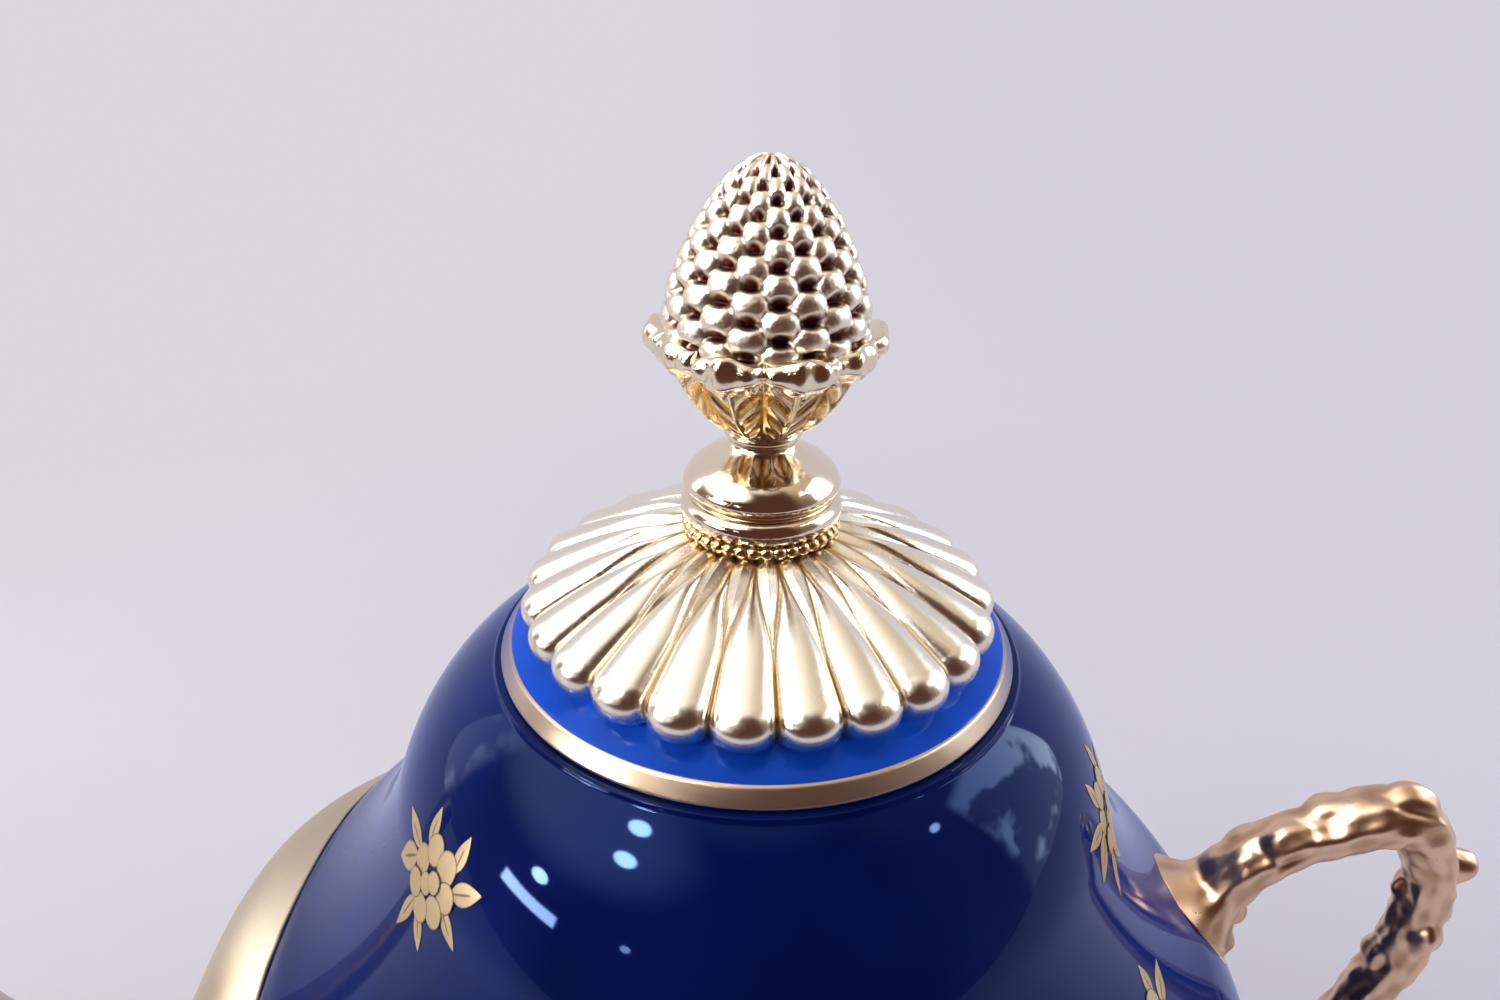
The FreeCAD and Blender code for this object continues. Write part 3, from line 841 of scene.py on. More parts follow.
@dataclass
class Rosette:
    """The petalled cap: tongues that widen outwards, with a dart between each two, and round tips.

    Fall holds the crest line's slope and bow; breadth a tongue's share of the valley's width at the hub,
    what it gains, and where it is full; groove the depth at the hub, what it gains, and by which power.
    Crowding draws the columns towards the valleys, and tarnish is the power that keeps it down in them.
    """

    petals: int = 24
    first_valley: float = -40.7
    hub: float = 9.6
    shoulder: float = 25.7
    hub_top: float = 15.9
    fall: Pair = (0.22, 0.009)
    breadth: Triple = (0.14, 0.84, 0.72)
    groove: Triple = (0.55, 1.75, 1.3)
    tongue_root: float = 0.35
    dart: float = 0.62
    dart_fade: Pair = (0.8, 0.5)
    crowding: float = 1.5
    tarnish: float = 4.0
    lean: float = 32.0
    valley_end: float = 26.7
    tip_shoulder: float = 1.5
    tip_reach: float = 2.6
    equator: float = 6.5
    landing: float = 0.45
    gap: float = 0.08
    wall: float = 1.2
    rim: float = 0.8
    hole: float = 2.1
    hub_flat: float = 3.0
    hub_sink: float = 0.4
    per_petal: int = 32
    rows: int = 64
    tip_rows: int = 22
    tuck_rows: int = 18
    under_rows: int = 16

    def spacing(self) -> Tuple[np.ndarray, np.ndarray]:
        """Azimuths round the cap, where s of the way to a valley becomes 1 - (1 - s) to the crowding's power.

        Returns:
            The azimuths, and each one's share of the way from a tongue's middle to the valley.
        """
        step = TURN / self.petals
        s = np.linspace(-1.0, 1.0, self.per_petal, endpoint=False)
        across = np.sign(s) * (1.0 - (1.0 - np.abs(s)) ** self.crowding)
        middle = np.radians(self.first_valley) + step * (np.arange(self.petals) + 0.5)
        azimuth = (middle[:, None] + across[None] * step / 2.0).ravel()[None]
        return azimuth, np.abs(np.tile(across, self.petals))[None]

    def face(self, x: np.ndarray, edge: np.ndarray) -> Tuple[np.ndarray, np.ndarray, np.ndarray, np.ndarray]:
        """Height = crest line - groove depth + the larger of a half-ellipse tongue and a straight dart.

        A tongue reaches to b = 0.14 + 0.84 smooth(q) of the way to the valley, where q is the share of the
        way from the hub to the edge. The crest falls by a parabola of the radius.

        Args:
            x: the share of the way from a tongue's middle to the valley.
            edge: the radius at which the face ends.

        Returns:
            Radius, height, depth from 0 on a crest to 1 in a valley, and the lowest height of each row.
        """
        q = np.linspace(0.0, 1.0, self.rows)[:, None]
        narrow, gain, full = self.breadth
        reach = narrow + gain * smooth(0.0, full, q)
        shallow, deepen, power = self.groove
        groove = shallow + deepen * q ** power
        radius = self.hub + (edge - self.hub) * q
        out = radius - self.hub
        floor = self.hub_top - self.fall[0] * out - self.fall[1] * out ** 2 - groove
        tongue = groove * smooth(0.0, self.tongue_root, q) * dome(x / reach)
        dart = self.dart * smooth(*self.dart_fade, q) * np.clip((x - reach) / (1.0 - reach), 0.0, None)
        relief = np.maximum(tongue, dart)
        return radius, floor + relief, 1.0 - relief / groove, floor.min(axis=1)

    def dress(self, site: Site, lid: Lid, material: bpy.types.Material) -> None:
        """The face, round tips, and the underside back to the hole, as a closed loop.

        A tip goes on at the face's slope as an elliptical arc down to the equator, and a second arc tucks
        back under it to the lid. The edge and the tip stand out by half ellipses across each tongue.

        Args:
            site: where the part stands.
            lid: the lid that it sits on.
            material: its plating.
        """
        azimuth, x = self.spacing()
        full = dome(x / (self.breadth[0] + self.breadth[1]))
        edge = self.shoulder + self.tip_shoulder * full
        end = self.valley_end + self.tip_reach * full
        radius, height, depth, floor = self.face(x, edge)
        start = np.radians(self.lean)
        bend = np.linspace(start, QUARTER, self.tip_rows)[1:, None]
        over_r = edge + (end - edge) * (np.sin(bend) - np.sin(start)) / (1.0 - np.sin(start))
        over_z = self.equator + (height[-1:] - self.equator) * np.cos(bend) / np.cos(start)
        low_r = self.shoulder + (end - self.shoulder) * self.landing
        low_z = lid.top(low_r) + self.gap
        bend = np.linspace(0.0, QUARTER, self.tuck_rows)[1:, None]
        tuck_r = low_r + (end - low_r) * np.cos(bend)
        tuck_z = self.equator + (low_z - self.equator) * np.sin(bend)
        back = np.linspace(1.0, 0.0, self.under_rows)[:, None]
        under_r = self.hub + (self.shoulder - self.rim - self.hub) * back
        under_z = np.interp(back, np.linspace(0.0, 1.0, self.rows), floor) - self.wall
        flat, low, high = self.hole + self.hub_flat, under_z[-1, 0], self.hub_top - self.hub_sink
        hub_r = np.array([[flat], [self.hole], [self.hole], [flat]])
        hub_z = np.array([[low], [low], [high], [high]])
        wide = azimuth.shape[1]
        r, z = (np.concatenate([np.broadcast_to(p, (len(p), wide)) for p in parts]) for parts in (
            [radius, over_r, tuck_r, under_r, hub_r], [height, over_z, tuck_z, under_z, hub_z]))
        tail = np.repeat(depth[-1:], len(over_r) + len(tuck_r), axis=0)
        rest = np.ones((len(under_r) + len(hub_r), wide))
        hollow = np.concatenate([depth, tail, rest]) ** self.tarnish
        form = Form.grid(turned(r, z + site.lid, azimuth), {Mark.HOLLOW: hollow}, loop=True)
        form.piece("petal_rosette", site, material, Body.LID, Slot.GILT, ["rosette"])


@dataclass
class BeadRing:
    """A ring of small beads under the collar, with the thread's thickness and what a bead adds to it."""

    beads: int = 38
    radius: float = 8.8
    height: float = 16.6
    thread: float = 0.34
    swell: float = 0.5
    closeness: float = 0.97
    tarnish: Pair = (0.7, 0.36)
    per_bead: int = 14
    rows: int = 20

    def dress(self, site: Site, material: bpy.types.Material) -> None:
        """A tube round the axis whose radius swells to a half circle at each bead.

        Args:
            site: where the part stands.
            material: its plating.
        """
        azimuth = turns(self.beads * self.per_bead)
        phase = np.abs((np.arange(azimuth.shape[1]) % self.per_bead) / self.per_bead * 2.0 - 1.0)[None]
        thick = self.thread + self.swell * dome(phase * self.closeness)
        bend = np.linspace(0.0, TURN, self.rows, endpoint=False)[:, None]
        height = site.lid + self.height + thick * np.sin(bend)
        points = turned(self.radius + thick * np.cos(bend), height, azimuth)
        form = Form.grid(points, {Mark.HOLLOW: smooth(*self.tarnish, thick)}, loop=True)
        form.piece("bead_ring", site, material, Body.LID, Slot.GILT, ["beaded_ring"])


@dataclass
class Collar:
    """The turned collar: a round moulding, a groove, and a bell that rises from its rim to the neck.

    Lower holds the moulding's radius and its two heights, and swell how far it stands out.
    """

    hole: float = 2.1
    lower: Triple = (9.75, 17.4, 20.4)
    swell: float = 1.25
    groove: Pair = (8.6, 20.9)
    groove_width: float = 0.45
    bell: Tuple[Pair, ...] = (
        (8.7, 21.2), (9.2, 21.45), (9.4, 21.95), (9.3, 22.5), (9.0, 23.1), (8.5, 23.75), (7.8, 24.4),
        (6.9, 25.0), (5.9, 25.55), (5.0, 26.05), (4.4, 26.5), (4.05, 26.9), (3.95, 27.35))
    moulding_rows: int = 14
    bell_rows: int = 60
    columns: int = 192

    def moulding(self) -> np.ndarray:
        """Half an ellipse that stands out to the moulding's radius between its two heights.

        Returns:
            Its points, in rows of radius and height.
        """
        radius, low, high = self.lower
        bend = np.linspace(-QUARTER, QUARTER, self.moulding_rows)
        out = radius - self.swell + self.swell * np.cos(bend)
        return np.stack([out, (low + high) / 2.0 + (high - low) / 2.0 * np.sin(bend)], axis=1)

    def dress(self, site: Site, material: bpy.types.Material) -> None:
        """The moulding's and the bell's outline, turned about the axis as a closed loop.

        Args:
            site: where the part stands.
            material: its plating.
        """
        ends = np.array([[self.hole, self.bell[-1][1]], [self.hole, self.lower[1]]])
        profile = np.concatenate([self.moulding(), [self.groove], curve(self.bell, self.bell_rows), ends])
        near = hump(profile[:, 1:], self.groove[1], self.groove_width)
        form = Form.grid(lathed(profile, self.columns, site.lid), {Mark.HOLLOW: near}, loop=True)
        form.piece("turned_collar", site, material, Body.LID, Slot.GILT, ["collar"])


@dataclass
class LeafCup:
    """The cup under the cone: a ring, a bowl of leaves with midribs and slanting veins, and a lumpy lip.

    A fade holds where something comes in and where it is full. Leaf holds the relief, its middle, and the
    power that fills it out; midrib the height and width; veins the height, how many to the bowl, and the
    slant. Lump holds a lump's height and its middle, and lift the same for the lip's edge. Uneven, ripple
    and sway are waves with a height, a rate and a phase, which the ripple shifts from leaf to leaf.
    Tarnish holds a level, and how much the relief takes from it.
    """

    leaves: int = 9
    first_tip: float = -21.0
    ring: Tuple[Pair, ...] = ((2.1, 27.35), (4.2, 27.35), (4.5, 27.95), (4.2, 28.5))
    bowl: Tuple[Pair, ...] = (
        (4.0, 28.6), (5.6, 29.7), (7.35, 31.3), (8.9, 33.4), (10.2, 35.75), (11.2, 37.2))
    lip: Tuple[Pair, ...] = (
        (11.8, 37.5), (12.4, 38.0), (12.6, 38.8), (12.4, 39.7), (11.7, 40.3), (10.9, 40.1))
    inside: Tuple[Pair, ...] = ((10.0, 38.6), (5.2, 31.75), (2.1, 31.6))
    lip_middle: float = 38.9
    spread: float = 1.02
    bowl_fade: Pair = (0.0, 0.12)
    lip_fade: Pair = (0.82, 1.0)
    lip_end: Pair = (1.0, 0.75)
    leaf: Triple = (0.75, 0.8, 0.7)
    midrib: Pair = (0.42, 0.09)
    veins: Triple = (0.26, 4.6, 1.5)
    vein_start: Pair = (0.08, 0.2)
    vein_end: Pair = (0.95, 0.7)
    lump: Pair = (1.7, 0.85)
    lift: Pair = (0.9, 0.4)
    lift_fade: Pair = (0.9, 0.0)
    uneven: Triple = (0.35, 2.4, 0.5)
    ripple: Triple = (0.20, 3.0, 2.0)
    sway: Triple = (0.14, 2.0, 0.6)
    tarnish: Pair = (0.85, 1.5)
    bowl_rows: int = 64
    lip_rows: int = 28
    per_leaf: int = 56

    def dress(self, site: Site, material: bpy.types.Material) -> None:
        """Each row of the outline is pushed out by the leaves' relief.

        The relief is a rounded leaf, a bell for the midrib, and a wave of the height less the distance from
        the midrib for the veins; on the lip it is one uneven lump to a leaf, with a ripple and a sway.

        Args:
            site: where the part stands.
            material: its plating.
        """
        parts = [np.array(self.ring), curve(self.bowl, self.bowl_rows), curve(self.lip, self.lip_rows),
                 np.array(self.inside)]
        profile = np.concatenate(parts)
        rise, roll = np.linspace(0.0, 1.0, self.bowl_rows), np.linspace(0.0, 1.0, self.lip_rows)
        below, above = np.zeros(len(self.ring)), np.zeros(len(self.inside))
        up = np.concatenate([below, rise, np.ones_like(roll), above + 1.0])[:, None]
        on_bowl = by_part(parts, (0, 1, 0, 0)) * smooth(*self.bowl_fade, up)
        on_lip = np.concatenate(
            [below, smooth(*self.lip_fade, rise), smooth(*self.lip_end, roll), above])[:, None]
        azimuth = turns(self.leaves * self.per_leaf)
        turn = (azimuth - np.radians(self.first_tip)) * self.leaves / TURN
        number = np.round(turn)
        u = (turn - number) * 2.0
        away = np.abs(u)
        round_leaf = dome(away / self.spread)
        high, middle, fill = self.leaf
        vein, count, slant = self.veins
        lines = np.cos(TURN * (count * up - slant * away))
        lines = lines * smooth(*self.vein_start, away) * smooth(*self.vein_end, away)
        relief = high * (round_leaf ** fill - middle) + self.midrib[0] * hump(away, 0.0, self.midrib[1])
        relief = relief + vein * lines
        uneven = 1.0 + self.uneven[0] * np.sin(self.uneven[1] * number + self.uneven[2])
        ripple = self.ripple[0] * np.cos(self.ripple[1] * np.pi * u + self.ripple[2] * number)
        sway = self.sway[0] * np.sin(self.sway[1] * azimuth + self.sway[2])
        lump = self.lump[0] * uneven * round_leaf + ripple + sway - self.lump[1]
        tip = self.lift[0] * uneven * (smooth(*self.lift_fade, away) - self.lift[1])
        r = profile[:, :1] + on_bowl * relief + on_lip * lump
        z = profile[:, 1:] + on_lip * tip * np.tanh(profile[:, 1:] - self.lip_middle)
        level, share = self.tarnish
        hollow = on_bowl * (1.0 - on_lip) * np.clip(level - share * relief, 0.0, 1.0)
        form = Form.grid(turned(r, z + site.lid, azimuth), {Mark.HOLLOW: hollow}, loop=True)
        form.piece("leaf_cup_casting", site, material, Body.LID, Slot.GILT, ["leaf_cup"])


@dataclass
class PineCone:
    """The finial: a pointed egg under rows of round knobs, each row turned by half a knob.

    Knob and pit hold half widths in knob widths round the cone and in row pitches up it. Pitch holds a
    row's height on the axis and what each millimetre of radius adds, and size a knob's height at the tip
    and what it gains at the widest radius. The pits and the seams between the knobs are marked as hollows,
    which the plating paints near-black red-brown as painted shade.
    """

    outline: Tuple[Pair, ...] = (
        (10.4, 38.9), (11.1, 40.6), (11.0, 43.0), (10.3, 45.8), (9.2, 48.6), (7.9, 51.3), (6.4, 53.8),
        (4.7, 56.1), (2.9, 57.7), (1.3, 58.5), (0.25, 58.75))
    knobs: int = 10
    first_column: float = -29.0
    first_row: float = 1.3
    last_row: float = 58.2
    pitch: Pair = (0.70, 0.10)
    first_pitch: float = 2.1
    knob: Pair = (0.32, 0.95)
    pit: Pair = (0.22, 0.56)
    pit_drop: float = 0.9
    pit_depth: float = 0.45
    pit_fade: Pair = (1.0, 0.4)
    size: Pair = (0.40, 0.68)
    widest: float = 11.0
    sink: float = 0.4
    tip_fade: Pair = (0.3, 1.2)
    seam: Pair = (0.6, 0.0)
    # How strongly the seams between the knobs take the painted shade.
    seam_shade: float = 0.55
    least: float = 0.05
    fine_rows: int = 400
    columns: int = 360
    rows: int = 230

    def levels(self) -> np.ndarray:
        """Heights of the rows of knobs, each row a pitch of 0.70 + 0.10 r above the last.

        Returns:
            The heights, from the lowest row up.
        """
        radii, ups = np.array(self.outline).T
        heights = [self.outline[0][1] + self.first_row]
        while heights[-1] < self.last_row:
            heights.append(heights[-1] + self.pitch[0] + self.pitch[1] * np.interp(heights[-1], ups, radii))
        return np.array(heights)

    def dress(self, site: Site, material: bpy.types.Material) -> None:
        """The egg is pushed out along its normal by the highest of the nearby knobs' domes.

        A knob's dome is sqrt(1 - (du / 0.32) squared - (dv / 0.95) squared), where du is in knob widths
        round the cone and dv in row pitches up it. A pit lies below each knob, between its neighbours.

        Args:
            site: where the part stands.
            material: its plating.
        """
        line = evened(curve(self.outline, self.fine_rows), self.rows)
        radius, height = line[:, :1], line[:, 1:]
        slope = headings(line)
        azimuth = turns(self.columns)
        levels = self.levels()
        order = np.interp(height, levels, np.arange(len(levels)))
        order = order + np.minimum(height - levels[0], 0.0) / self.first_pitch
        best, pit = np.zeros((2, self.rows, self.columns))
        for near in (-1, 0, 1, 2):
            row = np.floor(order) + near
            turn = (azimuth - np.radians(self.first_column)) * self.knobs / TURN + 0.5 * (row % 2)
            du, dv = turn - np.round(turn), order - row
            best = np.maximum(best, dome(np.hypot(du / self.knob[0], dv / self.knob[1])))
            below = np.hypot(du / self.pit[0], (dv + self.pit_drop) / self.pit[1])
            pit = np.maximum(pit, smooth(*self.pit_fade, below))
        size = self.size[0] + self.size[1] * np.clip(radius / self.widest, 0.0, 1.0)
        push = size * (best - self.sink - self.pit_depth * pit) * smooth(*self.tip_fade, radius)
        r, z = radius + push * slope[:, 1:], height - push * slope[:, :1]
        points = turned(np.maximum(r, self.least), z + site.lid, azimuth)
        # Pits and seams between knobs get the near-black hollow colour: painted shade and painted reflection.
        hollow = np.maximum(pit, self.seam_shade * smooth(*self.seam, best))
        form = Form.grid(points, {Mark.HOLLOW: hollow})
        form.piece("pine_cone_finial", site, material, Body.LID, Slot.GILT, ["pine_cone"])


@dataclass
class Spout:
    """The hollow cast spout: oval sections along a swan-neck line, from a broad root to a round lip.

    A station holds how far out from the belly and how far above it the middle is, which way it faces in
    degrees above the horizontal, and half of its height and width. Skin is how far the outside stands off
    the stations' sections, and seat how far from the pot the casting starts.
    """

    stations: Tuple[Tuple[float, float, float, float, float], ...] = (
        (-31.0, -7.0, 0.0, 31.0, 56.0), (-13.0, -8.0, 0.0, 30.0, 50.0), (0.5, -10.8, 0.0, 28.8, 35.0),
        (12.0, -22.4, 0.0, 20.4, 21.0), (25.0, -33.0, 2.0, 13.2, 14.2), (41.0, -34.6, 20.0, 11.6, 11.9),
        (57.0, -25.5, 46.0, 10.3, 10.6), (66.0, -3.5, 68.0, 9.1, 9.3), (68.0, 32.0, 75.0, 8.0, 8.1),
        (73.0, 57.8, 68.0, 7.9, 8.0))
    belly: Pair = (74.83, 63.33)
    wall: float = 2.4
    skin: float = 0.6
    seat: float = 0.05
    tries: int = 800
    columns: int = 160
    rows: int = 150
    lip_rows: int = 12

    def shell(self, share: np.ndarray, bend: np.ndarray, inset: float) -> np.ndarray:
        """Points on the sections: middle + up by half height cos bend + sideways by half width sin bend.

        Args:
            share: shares of the length.
            bend: angles round the section.
            inset: how far inside the section the points lie.

        Returns:
            A point for each share and angle.
        """
        share, bend = np.broadcast_arrays(share, bend)
        out, up, faces, tall, wide = np.moveaxis(flowing(np.array(self.stations), share), -1, 0)
        faces, rise = np.radians(faces), (tall - inset) * np.cos(bend)
        radius = self.belly[0] + out - np.sin(faces) * rise
        height = self.belly[1] + up + np.cos(faces) * rise
        return np.stack([-radius, (wide - inset) * np.sin(bend), height], axis=-1)

    def root(self, site: Site, outline: PotOutline, bend: np.ndarray, inset: float) -> np.ndarray:
        """The share at which each line along the spout leaves the pot's outline for good.

        Args:
            site: where the part stands.
            outline: the pot's outer outline.
            bend: angles round the section.
            inset: how far inside the section the lines lie.

        Returns:
            A share for each angle.
        """
        share = np.linspace(0.0, 1.0, self.tries)
        outside = outline.beyond(site, self.shell(share[:, None], bend, inset)) > self.seat
        last_in = self.tries - 1 - np.argmax(~outside[::-1], axis=0)
        return share[np.minimum(last_in + 1, self.tries - 1)][None]

    def dress(self, site: Site, outline: PotOutline, material: bpy.types.Material) -> None:
        """The outside from the pot to the lip, a half-round lip, and the bore back, as a closed loop.

        Args:
            site: where the part stands.
            outline: the pot's outer outline.
            material: its plating.
        """
        bend = turns(self.columns)
        even = np.linspace(0.0, 1.0, self.rows)[:, None]
        begin, inner = (self.root(site, outline, bend, inset) for inset in (-self.skin, self.wall))
        outside = self.shell(begin + (1.0 - begin) * even, bend, -self.skin)
        bore = self.shell(inner + (1.0 - inner) * even[::-1], bend, self.wall)
        roll = np.linspace(0.0, np.pi, self.lip_rows)[1:-1, None, None]
        middle, half = (outside[-1] + bore[0]) / 2.0, (outside[-1] - bore[0]) / 2.0
        facing = np.radians(self.stations[-1][2])
        ahead = np.array([-np.cos(facing), 0.0, np.sin(facing)])
        lip = middle + half * np.cos(roll) + ahead * (self.wall / 2.0) * np.sin(roll)
        parts = [outside, lip, bore]
        form = Form.grid(np.concatenate(parts), {Mark.HOLLOW: by_part(parts, (0, 0, 1))}, loop=True)
        form.piece("cast_spout", site, material, Body.POT, Slot.GILT, ["spout"])


@dataclass
class BranchHandle:
    """The cast handle: a gnarled branch with knots and cut twigs, its ends spread over the pot.

    A knot holds its share of the length, its angle round the branch in degrees, its height and its width.
    A ridge of the bark holds its height, how often it goes round, its turn and phase along the branch, and
    the size and rate of its sway. Flare holds where the ends begin to spread, over how much of the length,
    and by which power. Moat is the ring round a knot: its share of the height, its radius and its width.
    """

    line: Tuple[Pair, ...] = (
        (64.4, 82.7), (68.4, 87.6), (73.4, 94.4), (80.2, 99.0), (91.6, 102.8), (98.8, 94.5), (100.2, 83.2),
        (98.6, 70.2), (91.8, 51.0), (84.4, 36.6), (77.2, 29.6), (70.4, 32.2), (65.2, 34.8))
    girth: Pair = (4.15, 3.6)
    thinning: Pair = (0.3, 0.5)
    root: Pair = (8.6, 7.4)
    flare: Triple = (0.105, 0.062, 1.6)
    bark: float = 0.5
    ridges: Tuple[Tuple[float, float, float, float, float, float], ...] = (
        (0.20, 7.0, 0.11, 0.0, 1.3, 0.19), (0.18, 4.0, -0.33, 1.0, 0.0, 0.0),
        (0.22, 2.0, 0.72, -QUARTER, 0.0, 0.0), (0.16, -3.0, 1.35, -QUARTER, 0.0, 0.0),
        (0.10, 11.0, 0.0, 0.0, 1.1, 0.51))
    swell: Triple = (0.2, 0.21, 0.8)
    knots: Tuple[Tuple[float, float, float, float], ...] = (
        (0.085, 180.0, 2.2, 1.7), (0.165, 60.0, 0.6, 1.9), (0.215, -40.0, 0.7, 2.2), (0.27, 20.0, 0.6, 2.2),
        (0.335, 0.0, 1.2, 2.0), (0.365, 60.0, 0.8, 2.0), (0.43, -5.0, 2.6, 1.9), (0.465, 140.0, 0.7, 2.0),
        (0.51, -80.0, 0.8, 2.2), (0.56, 170.0, 0.8, 2.1), (0.605, 30.0, 0.9, 2.2), (0.67, -60.0, 0.8, 2.2),
        (0.74, 100.0, 0.8, 2.2), (0.81, 20.0, 1.1, 2.2))
    knot_power: float = 3.2
    moat: Triple = (0.25, 1.5, 0.35)
    tarnish: float = 0.6
    tarnish_edges: Pair = (0.4, -0.6)
    gap: float = 0.02
    columns: int = 112
    rows: int = 460

    def ridged(self, run: np.ndarray, bend: np.ndarray) -> np.ndarray:
        """The bark: a sum of high cos(n bend + turn run + phase + sway sin(rate run)) over the ridges."""
        return sum(high * np.cos(often * bend + turn * run + phase + sway * np.sin(rate * run))
                   for high, often, turn, phase, sway, rate in self.ridges)

    def knotted(self, run: np.ndarray, bend: np.ndarray, girth: np.ndarray) -> np.ndarray:
        """The knots: each is tall times exp(-far to a power) less a shallow ring round it.

        Args:
            run: distances along the branch.
            bend: angles round the branch.
            girth: its plain half thickness.

        Returns:
            What the knots add to the half thickness.
        """
        even = np.linspace(0.0, 1.0, self.rows)
        share, middle, width = self.moat
        added = np.zeros((self.rows, self.columns))
        for at, angle, tall, broad in self.knots:
            along = (run - np.interp(at, even, run[:, 0])) / broad
            aside = (bend - np.radians(angle) + np.pi) % TURN - np.pi
            far = np.hypot(along, aside * girth / broad)
            added += tall * (np.exp(-far ** self.knot_power) - share * hump(far, middle, width))
        return added

    def dress(self, site: Site, outline: PotOutline, material: bpy.types.Material) -> None:
        """A tube along the line: girth with twisting bark ridges, a slow swell, knots, and spread ends.

        The end rows sit on the pot: points that would fall inside its wall are drawn out to its surface.

        Args:
            site: where the part stands.
            outline: the pot's outer outline.
            material: its plating.
        """
        path = curve(self.line, self.rows)
        side = headings(path)[:, ::-1] * np.array([-1.0, 1.0])
        run, bend = runs(path)[:, None], turns(self.columns)
        share = np.linspace(0.0, 1.0, self.rows)[:, None]
        bark = self.ridged(run, bend)
        girth = self.girth[0] + (self.girth[1] - self.girth[0]) * smooth(*self.thinning, share)
        swell = self.swell[0] * np.sin(self.swell[1] * run + self.swell[2])
        thick = girth + self.bark * bark + swell + self.knotted(run, bend, girth)
        begin, length, power = self.flare
        flare = np.clip((begin - np.minimum(share, 1.0 - share)) / length, 0.0, 1.0) ** power
        tall, wide = (thick + flare * (root - girth) for root in self.root)
        in_plane = tall * np.cos(bend)
        x, z = (path[:, k:k + 1] + side[:, k:k + 1] * in_plane for k in (0, 1))
        points = np.stack([x, wide * np.sin(bend), z], axis=-1)
        short = np.clip(self.gap - outline.beyond(site, points), 0.0, None)
        points[..., :2] *= (1.0 + short / np.hypot(points[..., 0], points[..., 1]))[..., None]
        hollow = self.tarnish * smooth(*self.tarnish_edges, bark)
        Form.grid(points, {Mark.HOLLOW: hollow}).piece(
            "branch_handle", site, material, Body.POT, Slot.GILT, ["handle"])


class Petal(Enum):
    """The two shapes that a sprig is drawn with."""

    LEAF = "pointed"
    ROUND = "round"


